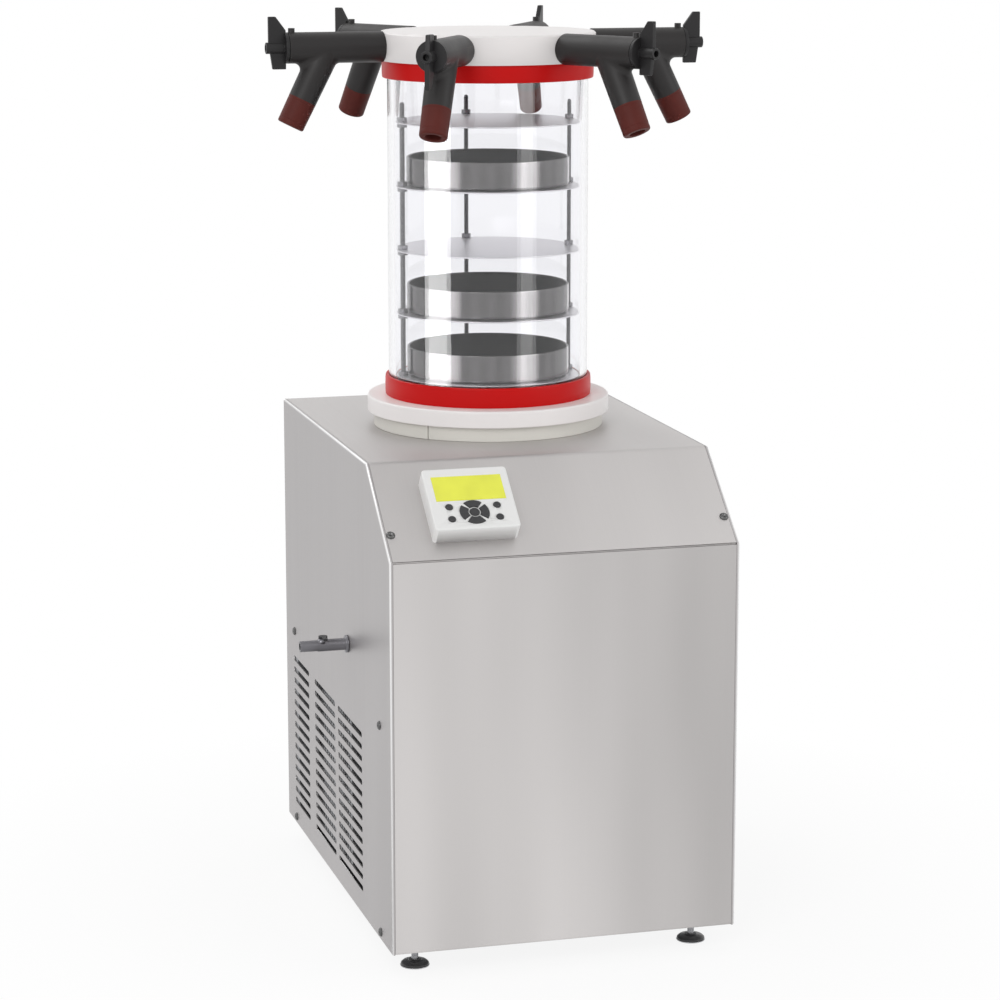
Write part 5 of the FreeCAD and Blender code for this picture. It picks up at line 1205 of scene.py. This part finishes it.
@dataclass
class ControlPanel:
    """The controller on the slope: case, display, round keys and key pad."""

    dresser: Dresser
    round_keys: int = 4
    arc_keys: int = 4
    key_height: float = 5 * MM
    key_radius: float = 4.2 * MM
    centre_radius: float = 5.4 * MM
    pad_inner: float = 7.4 * MM
    pad_outer: float = 16.5 * MM
    pad_sweep: float = math.radians(74)
    pad_edge: float = 0.25 * MM
    dish: float = 0.35 * MM
    rim_width: float = 0.7 * MM
    rim_drop: float = 0.75 * MM
    rim_turn: tuple[float, float] = (0.2 * MM, 0.3 * MM)
    arc_rim: float = 2.2 * MM
    arc_bevel: float = 0.65 * MM
    arc_crest: float = 0.05 * MM
    arc_inner_rim: float = 1.6 * MM
    arc_inner_drop: float = 0.1 * MM
    window_border: float = 1.6 * MM
    window_lip: float = 0.2 * MM
    window_step: float = 0.25 * MM
    window_edge: float = 0.15 * MM

    @property
    def slope(self) -> float:
        """Give the slope's angle, which the keys' press axis follows."""
        axis = self.dresser.joint("centre_key_press")["axis"]
        return math.atan2(axis[1], -axis[2])

    def build(self) -> None:
        """Make the case, the display and every key."""
        self.dresser.refine("controller_housing", Finishes.CASE_WHITE)
        self.build_window()
        for number in range(1, self.round_keys + 1):
            self.build_round_key(f"round_key_{number}", self.key_radius)
        self.build_round_key("centre_key", self.centre_radius)
        for number in range(1, self.arc_keys + 1):
            self.build_arc_key(f"arc_key_{number}")

    def on_slope(self, centre: Vector) -> Matrix:
        """Give the place of a shape that stands square on the slope about its centre."""
        return Matrix.Translation(centre) @ Matrix.Rotation(self.slope, 4, "X")

    def build_window(self) -> None:
        """Make the display's window with a stepped border."""
        extent = Extent.of("display_window")
        lean, rise, double = math.cos(self.slope), math.sin(self.slope), math.cos(2.0 * self.slope)
        across = extent.size.x / 2.0
        up = (extent.size.y * lean - extent.size.z * rise) / double / 2.0
        thickness = (extent.size.z * lean - extent.size.y * rise) / double
        shape = plate([(-across, -up), (across, -up), (across, up), (-across, up)], thickness)
        top = max(shape.faces, key=lambda face: face.calc_center_median().z)
        for width, depth in ((self.window_border, 0.0), (self.window_lip, -self.window_step)):
            bmesh.ops.inset_region(shape, faces=[top], thickness=width, depth=depth)
        soften(shape, self.window_edge, segments=1, sharper_than=60.0)
        placed(shape, self.on_slope(extent.centre))
        self.dresser.publish("display_window_lit", shape, Finishes.DISPLAY, ("display_window",))

    def build_round_key(self, name: str, radius: float) -> None:
        """Turn one round key with a soft rim and a dished top.

        Args:
            name: The key's node, which is also its body.
            radius: The key's radius.
        """
        low, high = -self.key_height / 2.0, self.key_height / 2.0
        turn_in, turn_down = self.rim_turn
        shape = lathe([
            (0.0, low), (radius, low), (radius, high - self.rim_drop), (radius - turn_in, high - turn_down),
            (radius - self.rim_width, high), (radius * 0.6, high - self.dish * 0.7), (0.0, high - self.dish),
        ], steps=48)
        self.publish_key(name, shape, Extent.of(name).centre)

    def build_arc_key(self, name: str) -> None:
        """Turn one quarter key of the pad, centred where its node is.

        Args:
            name: The key's node, which is also its body.
        """
        middle = Extent.of("centre_key").centre
        toward = self.on_slope(Vector()).inverted() @ (Extent.of(name).centre - middle)
        heading = round(math.atan2(toward.y, toward.x) / QUARTER_TURN) * QUARTER_TURN
        inner, outer = self.pad_inner, self.pad_outer
        low, high = -self.key_height / 2.0, self.key_height / 2.0
        dished = high - self.dish * 0.6
        shape = lathe([
            (inner, low), (outer, low), (outer, high - self.arc_bevel),
            (outer - self.arc_bevel, high - self.arc_crest), (outer - self.arc_rim, dished),
            (inner + self.arc_inner_rim, dished), (inner, high - self.arc_inner_drop),
        ], steps=24, sweep=self.pad_sweep, start=heading - self.pad_sweep / 2.0)
        self.publish_key(name, soften(shape, self.pad_edge, sharper_than=50.0), middle)

    def publish_key(self, name: str, shape: Shape, centre: Vector) -> None:
        """Set a key's cap on the slope, riding on the key's own body."""
        placed(shape, self.on_slope(centre))
        self.dresser.publish(f"{name}_cap", shape, Finishes.KEY_RUBBER, (name,), name)


# ----------------------------------------------------------- drying chamber


@dataclass
class ChamberBase:
    """The white ring on the hood and the heavy disc above it."""

    dresser: Dresser
    ring_bore: float = 104 * MM
    ring_gap: float = 0.8 * MM
    ring_joint: float = math.radians(224)
    ring_edge: float = 1 * MM
    rebate_radius: float = 112.3 * MM
    disc_bore: float = 96 * MM
    pot_flange: float = 2 * MM
    disc_edge: float = 2.5 * MM
    foot_edge: float = 0.8 * MM
    bore_edge: float = 1 * MM

    def build(self) -> None:
        """Make the ring and the disc."""
        self.build_ring()
        self.build_disc()

    def build_ring(self) -> None:
        """Turn the ring, open at its joint."""
        ring = Extent.of("flange_trim_ring")
        gap = self.ring_gap / ring.radius
        bore, radius, tall = self.ring_bore, ring.radius, ring.size.z
        shape = lathe(
            [(bore, 0.0), (radius, 0.0), (radius, tall), (bore, tall)], ring.foot,
            sweep=FULL_TURN - gap, start=self.ring_joint + gap / 2.0,
        )
        soften(shape, self.ring_edge, segments=3)
        self.dresser.publish("flange_ring", shape, Finishes.TRIM_POLYMER, ("flange_trim_ring",))

    def build_disc(self) -> None:
        """Turn the disc, with a rounded upper edge and a rebate over the pot's flange."""
        node = Extent.of("base_disc")
        radius, tall, edge, bore = node.radius, node.size.z, self.disc_edge, self.disc_bore
        shape = lathe([
            (self.rebate_radius, 0.0), (radius - self.foot_edge, 0.0), (radius, self.foot_edge),
            (radius, tall - edge), (radius - 0.08 * edge, tall - 0.6 * edge),
            (radius - 0.3 * edge, tall - 0.3 * edge), (radius - 0.6 * edge, tall - 0.08 * edge),
            (radius - edge, tall), (bore + self.bore_edge, tall), (bore, tall - self.bore_edge),
            (bore, self.pot_flange), (self.rebate_radius, self.pot_flange),
        ], node.foot, steps=160)
        self.dresser.publish("chamber_base_disc", shape, Finishes.POLYMER, ("base_disc",))


@dataclass
class DryingChamber:
    """The clear tube between its two red gaskets."""

    dresser: Dresser
    tube_wall: float = 8 * MM
    tube_edge: float = 0.6 * MM
    seal_floor: float = 4 * MM
    fit: float = 0.2 * MM
    lip: float = 3.8 * MM
    lip_height: float = 9.5 * MM
    crown: float = 0.45 * MM
    round_edge: float = 1.2 * MM
    steps: int = 160

    def build(self) -> None:
        """Make the tube and both gaskets."""
        tube = Extent.of("chamber_tube")
        bore, radius, tall = tube.radius - self.tube_wall, tube.radius, tube.size.z
        shape = lathe([(bore, 0.0), (radius, 0.0), (radius, tall), (bore, tall)], tube.foot, self.steps)
        soften(shape, self.tube_edge)
        self.dresser.publish("clear_tube", shape, Finishes.TUBE, ("chamber_tube",))
        for name, upturned in (("lower_seal", True), ("upper_seal", False)):
            self.build_seal(name, radius, upturned)

    def build_seal(self, name: str, tube_radius: float, upturned: bool) -> None:
        """Turn one channel gasket, crowned a little where the tube presses it.

        Args:
            name: The gasket's node.
            tube_radius: The tube's outer radius.
            upturned: Whether the channel opens upwards.
        """
        extent = Extent.of(name)
        outer, tall, edge = extent.radius, extent.size.z, self.round_edge
        side = outer - self.crown
        swell = outer - 0.3 * self.crown
        bore = tube_radius - self.tube_wall - self.fit
        outline = [
            (bore - self.lip, 0.0), (side - edge * 0.4, 0.0), (side, edge * 0.4), (swell, tall * 0.2),
            (outer, tall * 0.5), (swell, tall * 0.8), (side, tall - edge),
            (side - edge * 0.3, tall - 0.3 * edge), (side - edge, tall), (tube_radius + self.fit, tall),
            (tube_radius + self.fit, self.seal_floor), (bore, self.seal_floor),
            (bore, self.lip_height), (bore - self.lip, self.lip_height),
        ]
        if not upturned:
            outline = [(radius, tall - height) for radius, height in outline]
        shape = lathe(outline, extent.foot, self.steps)
        self.dresser.publish(f"{name}_ring", shape, Finishes.SEAL_RED, (name,))


# ----------------------------------------------------------------- manifold


@dataclass
class Manifold:
    """The lid and its six valves with their plugs and outlet sleeves."""

    dresser: Dresser
    valves: int = 6
    disc_thickness: float = 4 * MM
    disc_edge: float = 0.6 * MM
    stem_length: float = 30 * MM
    stem_radius: float = 7.94 * MM
    hub_radius: float = 6.5 * MM
    hole_radius: float = 3.6 * MM
    hole_depth: float = 9 * MM
    fin_thickness: float = 5.4 * MM
    fin_edge: float = 0.9 * MM
    fin_clearance: float = 4 * MM
    fin_shoulder: float = 20 * MM
    fin_top_length: float = 8.5 * MM
    fin_setback: float = 3 * MM
    fin_root_length: float = 18.5 * MM
    sleeve_tip: float = 15.9 * MM
    sleeve_mouth: float = 16.37 * MM
    sleeve_bead: float = 0.35 * MM
    nose_width: float = 2 * MM
    nose_turns: Profile = ((0.9 * MM, 0.35 * MM), (0.2 * MM, 1.2 * MM))
    nose_length: float = 2.4 * MM
    tip_groove: float = 6.6 * MM
    mouth_groove: float = 2.6 * MM
    mouth_swell: float = 0.1 * MM
    groove_reach: float = 0.6 * MM
    bore_edge: float = 0.8 * MM
    neck_radius: float = 12.5 * MM
    neck_length: float = 13.7 * MM
    passage_radius: float = 8 * MM
    steps: int = 64

    def build(self) -> None:
        """Make the lid, the valve bodies, the plugs and the sleeves."""
        self.dresser.refine("manifold_lid", Finishes.POLYMER)
        for number in range(1, self.valves + 1):
            self.dresser.refine(f"valve_body_{number}", Finishes.VALVE_PLASTIC)
            self.build_plug(number)
            self.build_sleeve(number)

    def build_plug(self, number: int) -> None:
        """Make one plug and set it on its valve's axis, with its fin upright or hanging as its node has it.

        Args:
            number: The valve's number.
        """
        own = Extent.of(f"valve_plug_{number}")
        joint = self.dresser.joint(f"valve_{number}_turn")
        level = joint["pos_m"][2]
        turn = Matrix.Rotation(QUARTER_TURN, 4, "X")
        if own.high.z - level <= level - own.low.z:
            turn = Matrix.Rotation(HALF_TURN, 4, "X") @ turn
        model = Extent.of("valve_plug_1")
        shape = joined([self.spindle(model), placed(self.fins(model, level), turn)])
        axis = Vector(joint["axis"])
        chamber = Extent.of("chamber_tube").axis
        heading = Matrix.Rotation(math.atan2(-axis.y, -axis.x), 4, "Z")
        placed(shape, Matrix.Translation((chamber.x, chamber.y, level)) @ heading)
        self.dresser.publish(
            f"turning_plug_{number}", shape, Finishes.PLUG_PLASTIC, (f"valve_plug_{number}",),
            f"plug_{number}",
        )

    def spindle(self, model: Extent) -> Shape:
        """Turn a plug's stem, flange and bored hub, along X.

        Args:
            model: The extent of the first plug, which points along X.

        Returns:
            The turned piece.
        """
        stem_end, reach = -model.high.x, -model.low.x
        seat = stem_end + self.stem_length
        face = seat + self.disc_thickness
        radius = model.size.y / 2.0
        floor = reach - self.hole_depth
        shape = lathe([
            (0.0, stem_end), (self.stem_radius, stem_end), (self.stem_radius, seat), (radius, seat),
            (radius, face), (self.hub_radius, face), (self.hub_radius, reach), (self.hole_radius, reach),
            (self.hole_radius, floor), (0.0, floor),
        ], steps=self.steps)
        return placed(soften(shape, self.disc_edge), Matrix.Rotation(QUARTER_TURN, 4, "Y"))

    def fins(self, model: Extent, level: float) -> Shape:
        """Cut a plug's tall fin and the short one opposite, in the XY plane.

        Args:
            model: The extent of the first plug.
            level: The height of the valves' axes.

        Returns:
            Both fins.
        """
        root = self.stem_length - model.high.x + self.disc_thickness / 2.0
        tip = -model.low.x - self.fin_setback
        top, drop, clear = model.high.z - level, level - model.low.z, self.fin_clearance
        heel = root + self.fin_root_length
        tall = [
            (root, clear), (tip, clear), (tip, top), (tip - self.fin_top_length, top),
            (root, self.fin_shoulder),
        ]
        short = [(root, -clear), (root, -drop), (heel - self.fin_setback, -drop), (heel, -clear)]
        fins = joined(plate(outline, self.fin_thickness) for outline in (tall, short))
        return soften(fins, self.fin_edge, segments=3)

    def build_sleeve(self, number: int) -> None:
        """Turn one outlet sleeve on its branch.

        Args:
            number: The valve's number.
        """
        mount = self.dresser.mount(f"outlet_{number}")
        along = Vector(mount["axis"])
        bore, length = mount["dims"]["r_mm"] * MM, mount["dims"]["length_mm"] * MM
        centre = Vector(mount["pos_m"]) + along * length / 2.0
        tip, mouth, bead, reach = self.sleeve_tip, self.sleeve_mouth, self.sleeve_bead, self.groove_reach
        near_groove, far_groove = -self.tip_groove, self.mouth_groove - length
        neck_end = -length - self.neck_length
        shape = lathe([
            (bore + self.bore_edge, 0.0), (tip - self.nose_width, 0.0),
            *((tip - inward, -back) for inward, back in self.nose_turns), (tip, -self.nose_length),
            (tip, near_groove + reach), (tip - bead, near_groove), (tip, near_groove - reach),
            (mouth - self.mouth_swell, far_groove + reach), (mouth - bead, far_groove),
            (mouth, far_groove - reach), (mouth, -length), (self.neck_radius, -length),
            (self.neck_radius, neck_end), (self.passage_radius, neck_end), (self.passage_radius, -length),
            (bore, -length), (bore, -self.bore_edge),
        ], steps=self.steps)
        placed(shape, Matrix.Translation(centre) @ along.to_track_quat("Z", "Y").to_matrix().to_4x4())
        self.dresser.publish(
            f"outlet_rubber_{number}", shape, Finishes.SLEEVE_RUBBER, (f"outlet_sleeve_{number}",), sharp=50.0
        )


# ----------------------------------------------------------- rack and trays


@dataclass
class ShelfRack:
    """Three threaded rods, their nuts, five shelves and three trays."""

    dresser: Dresser
    rod_radius: float = 3 * MM
    pitch: float = 1.25 * MM
    nut_width: float = 10 * MM
    shelf_edge: float = 0.35 * MM
    wall: float = 1.2 * MM
    corner: float = 4 * MM
    corner_steps: int = 6
    bead: float = 1.3 * MM
    bead_roll: float = math.pi * 1.25
    bead_steps: int = 12
    bead_foot: float = 0.4 * MM
    ring_share: float = 0.62
    ring_height: float = 0.45 * MM
    ring_half: float = 2.5 * MM
    ring_crest: float = 1.2 * MM
    trays: int = 3

    def build(self) -> None:
        """Make the rods, the nuts, the shelves and the trays."""
        for node, name, make, finish, sharp in (
            ("rack_rods", "rack_rods_threaded", self.rod, Finishes.ROD_STEEL, 50.0),
            ("rack_nuts", "rack_nuts_hexagon", self.nut, Finishes.ROD_STEEL, 35.0),
            ("shelf_plates", "shelf_discs", self.shelf, Finishes.SHELF_STEEL, 35.0),
        ):
            shapes = [make(spot) for spot in self.dresser.solids(node)]
            self.dresser.publish(name, joined(shapes), finish, (node,), sharp=sharp)
        for number in range(1, self.trays + 1):
            self.build_tray(f"sample_tray_{number}")

    def rod(self, spot: Extent) -> Shape:
        """Wind one threaded rod."""
        bar = thread(self.rod_radius, self.pitch, spot.low.z, spot.high.z)
        return placed(bar, Matrix.Translation(spot.axis))

    def nut(self, spot: Extent) -> Shape:
        """Make one nut, turned as its solid is."""
        turn = math.pi / 6.0 if spot.size.x > spot.size.y else 0.0
        return placed(hexagon(self.nut_width, spot.size.z, turn), Matrix.Translation(spot.foot))

    def shelf(self, spot: Extent) -> Shape:
        """Turn one shelf plate."""
        return disc(spot, spot.size.z, self.shelf_edge)

    def build_tray(self, name: str) -> None:
        """Spin one round tray with a rolled rim and a raised ring in its floor.

        Args:
            name: The tray's node.
        """
        extent = Extent.of(name)
        outer, tall, wall, corner = extent.radius, extent.size.z, self.wall, self.corner
        inner = outer - wall
        inner_corner = corner - wall
        ring, crest = outer * self.ring_share, wall + self.ring_height
        outline = [
            (0.0, 0.0),
            *arc((outer - corner, corner), corner, -QUARTER_TURN, 0.0, self.corner_steps),
            *arc((outer - self.bead, tall - self.bead), self.bead, 0.0, self.bead_roll, self.bead_steps),
            (inner, tall - 2.0 * self.bead - self.bead_foot),
            *arc((inner - inner_corner, corner), inner_corner, 0.0, -QUARTER_TURN, self.corner_steps),
            (ring + self.ring_half, wall), (ring + self.ring_crest, crest), (ring - self.ring_crest, crest),
            (ring - self.ring_half, wall), (0.0, wall),
        ]
        shape = lathe(outline, extent.foot, steps=160)
        self.dresser.publish(f"{name}_spun", shape, Finishes.TRAY_STEEL, (name,), sharp=40.0)


# ------------------------------------------------- fittings and refrigeration


@dataclass
class Fittings:
    """The drain, the power inlet and what the cabinet hides."""

    dresser: Dresser
    refined: tuple[tuple[str, Finish, str], ...] = (
        ("drain_nozzle", Finishes.ROD_STEEL, ROOT),
        ("drain_cock_lever", Finishes.FITTING_BLACK, "drain_lever"),
        ("power_inlet", Finishes.FITTING_BLACK, ROOT),
        ("rocker_switch", Finishes.SWITCH_BLACK, "rocker"),
        # the pot takes the tray steel with its painted reflection bands and painted shade
        ("condenser_pot", Finishes.TRAY_STEEL, ROOT),
        ("fan_rotor", Finishes.FAN_PLASTIC, "fan"),
        ("compressor", Finishes.ENAMEL, ROOT),
        ("cooling_jacket", Finishes.FOAM, ROOT),
        ("drain_pipe", Finishes.BRIGHT_STEEL, ROOT),
    )

    def build(self) -> None:
        """Finish every fitting; the finned block stays as it is."""
        for node, finish, body in self.refined:
            self.dresser.refine(node, finish, body)
        self.dresser.carry("air_condenser", Finishes.FIN_METAL)


# ------------------------------------------------------------------- studio


@dataclass
class Studio:
    """The pale floor, the soft lights, the white surroundings and the camera."""

    eye: tuple[float, float, float] = (-0.9659, -3.499, 1.2023)
    heading: float = 0.2696
    dip: float = 0.1971
    lens: float = 113.35
    floor_half: float = 9.0
    floor_tone: Colour = (0.93, 0.93, 0.93)
    floor_roughness: float = 0.9
    shade_reach: tuple[float, float] = (0.30, 0.80)
    shade_share: float = 0.88
    surround: float = 0.55
    lamps: tuple[tuple[str, tuple[float, float, float], float, float], ...] = (
        ("key_softbox", (-2.6, -3.4, 3.0), 2.2, 62.0),
        ("fill_softbox", (3.0, -2.4, 1.8), 2.2, 26.0),
        ("top_softbox", (-1.5, 1.9, 3.1), 2.0, 24.0),
    )
    window_distance: float = 2.4
    window_level: float = 0.52
    window_height: float = 0.85
    windows: tuple[tuple[str, float, float, float], ...] = (
        ("left_window", 196.0, 1.0, 36.0),
        ("left_window_rim", 196.0, 1.45, 30.0),
        ("right_window", 299.0, 0.6, 6.0),
        ("right_window_rim", 299.0, 1.0, 5.0),
    )
    mirrors: tuple[str, ...] = ("clear_tube",)

    def build(self) -> None:
        """Set up the floor, the surroundings, the lamps and the camera."""
        self.build_floor()
        self.build_surround()
        low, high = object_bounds()
        middle = (Vector(low) + Vector(high)) / 2.0
        for name, place, size, power in self.lamps:
            self.lamp(name, Vector(place), middle - Vector(place), size, power)
        self.build_windows()
        self.build_camera()
        bpy.context.scene.view_settings.view_transform = "Standard"

    @staticmethod
    def seen_directly(sheet: NodeSheet) -> Socket:
        """Mask the rays that show the background: seen, mirrored or through glass.

        Args:
            sheet: The node sheet.

        Returns:
            The mask's socket.
        """
        path = sheet.add("ShaderNodeLightPath")
        seen = sheet.math("MAXIMUM", path.outputs["Is Camera Ray"], path.outputs["Is Glossy Ray"])
        return sheet.math("MAXIMUM", seen, path.outputs["Is Transmission Ray"])

    def build_floor(self) -> None:
        """Make the floor, white far off and shaded near the feet."""
        material = bpy.data.materials.new("studio_floor")
        material.use_nodes = True
        nodes = material.node_tree.nodes
        sheet = NodeSheet(material.node_tree)
        shader = nodes["Principled BSDF"]
        sheet.supply(shader, {
            "Roughness": self.floor_roughness, "Specular IOR Level": 0.0, "Base Color": self.floor_tone,
        })
        place = sheet.add("ShaderNodeTexCoord").outputs["Object"]
        distance = sheet.vector_math("LENGTH", {0: place})["Value"]
        near, far = self.shade_reach
        share = sheet.span(distance, self.shade_share, 1.0, start=near, stop=far)
        mask = sheet.math("MULTIPLY", share, self.seen_directly(sheet))
        glow = sheet.add("ShaderNodeEmission").outputs[0]
        sheet.supply(nodes["Material Output"], {"Surface": sheet.mix(mask, shader.outputs[0], glow)})
        shape = bmesh.new()
        bmesh.ops.create_grid(shape, x_segments=1, y_segments=1, size=self.floor_half)
        stood("studio_floor", shape, material)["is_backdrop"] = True

    def build_surround(self) -> None:
        """Light the object softly from all sides, before a white background."""
        world = bpy.data.worlds.new("studio_surround")
        world.use_nodes = True
        nodes = world.node_tree.nodes
        sheet = NodeSheet(world.node_tree)
        sheet.supply(nodes["Background"], {"Color": WHITE, "Strength": self.surround})
        white = sheet.add("ShaderNodeBackground", {"Color": WHITE, "Strength": 1.0})
        seen = self.seen_directly(sheet)
        mixed = sheet.mix(seen, nodes["Background"].outputs[0], white.outputs[0])
        sheet.supply(nodes["World Output"], {"Surface": mixed})
        bpy.context.scene.world = world

    @staticmethod
    def aim(name: str, content: Any, place: Vector, toward: Vector) -> bpy.types.Object:
        """Hang a lamp or a camera so that it looks along a direction.

        Args:
            name: The object's name.
            content: The lamp or the camera.
            place: Where it hangs.
            toward: The direction.

        Returns:
            The object.
        """
        holder = linked(bpy.data.objects.new(name, content))
        holder.location = place
        holder.rotation_euler = toward.to_track_quat("-Z", "Y").to_euler()
        return holder

    def lamp(self, name: str, place: Vector, toward: Vector, size: float, power: float) -> bpy.types.Object:
        """Hang one square soft lamp.

        Args:
            name: The lamp's name.
            place: Where it hangs.
            toward: Where it looks.
            size: The length of its side.
            power: Its power in watts.

        Returns:
            The lamp's object.
        """
        lamp = bpy.data.lights.new(name, "AREA")
        lamp.energy = power
        lamp.size = size
        return self.aim(name, lamp, place, toward)

    def build_windows(self) -> None:
        """Hang the upright soft windows that the drying chamber mirrors."""
        mirrored = bpy.data.collections.new("chamber_mirrors")
        for name in self.mirrors:
            mirrored.objects.link(bpy.data.objects[name])
        middle = Extent.of("chamber_tube").axis + Vector((0.0, 0.0, self.window_level))
        for name, degrees, width, power in self.windows:
            bearing = math.radians(degrees)
            outward = Vector((math.cos(bearing), math.sin(bearing), 0.0))
            holder = self.lamp(name, middle + self.window_distance * outward, -outward, width, power)
            holder.data.shape = "RECTANGLE"
            holder.data.size_y = self.window_height
            holder.visible_camera = False
            holder.visible_transmission = False
            holder.light_linking.receiver_collection = mirrored

    def build_camera(self) -> None:
        """Set up the camera at the left front."""
        camera = bpy.data.cameras.new("studio_camera")
        camera.lens = self.lens
        level = math.cos(self.dip)
        toward = Vector((level * math.sin(self.heading), level * math.cos(self.heading), -math.sin(self.dip)))
        bpy.context.scene.camera = self.aim("studio_camera", camera, Vector(self.eye), toward)


def main() -> None:
    """Dress the freeze dryer, from the floor up, and set up the studio."""
    logging.basicConfig(level=logging.INFO, format="%(name)s: %(message)s")
    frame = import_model()
    dresser = Dresser(frame)
    for assembly in (
        Cabinet, LevellingFeet, ControlPanel, ChamberBase, DryingChamber, Manifold, ShelfRack, Fittings
    ):
        LOG.info("building %s", assembly.__name__)
        assembly(dresser).build()
    Studio().build()


if __name__ == "__main__":
    main()
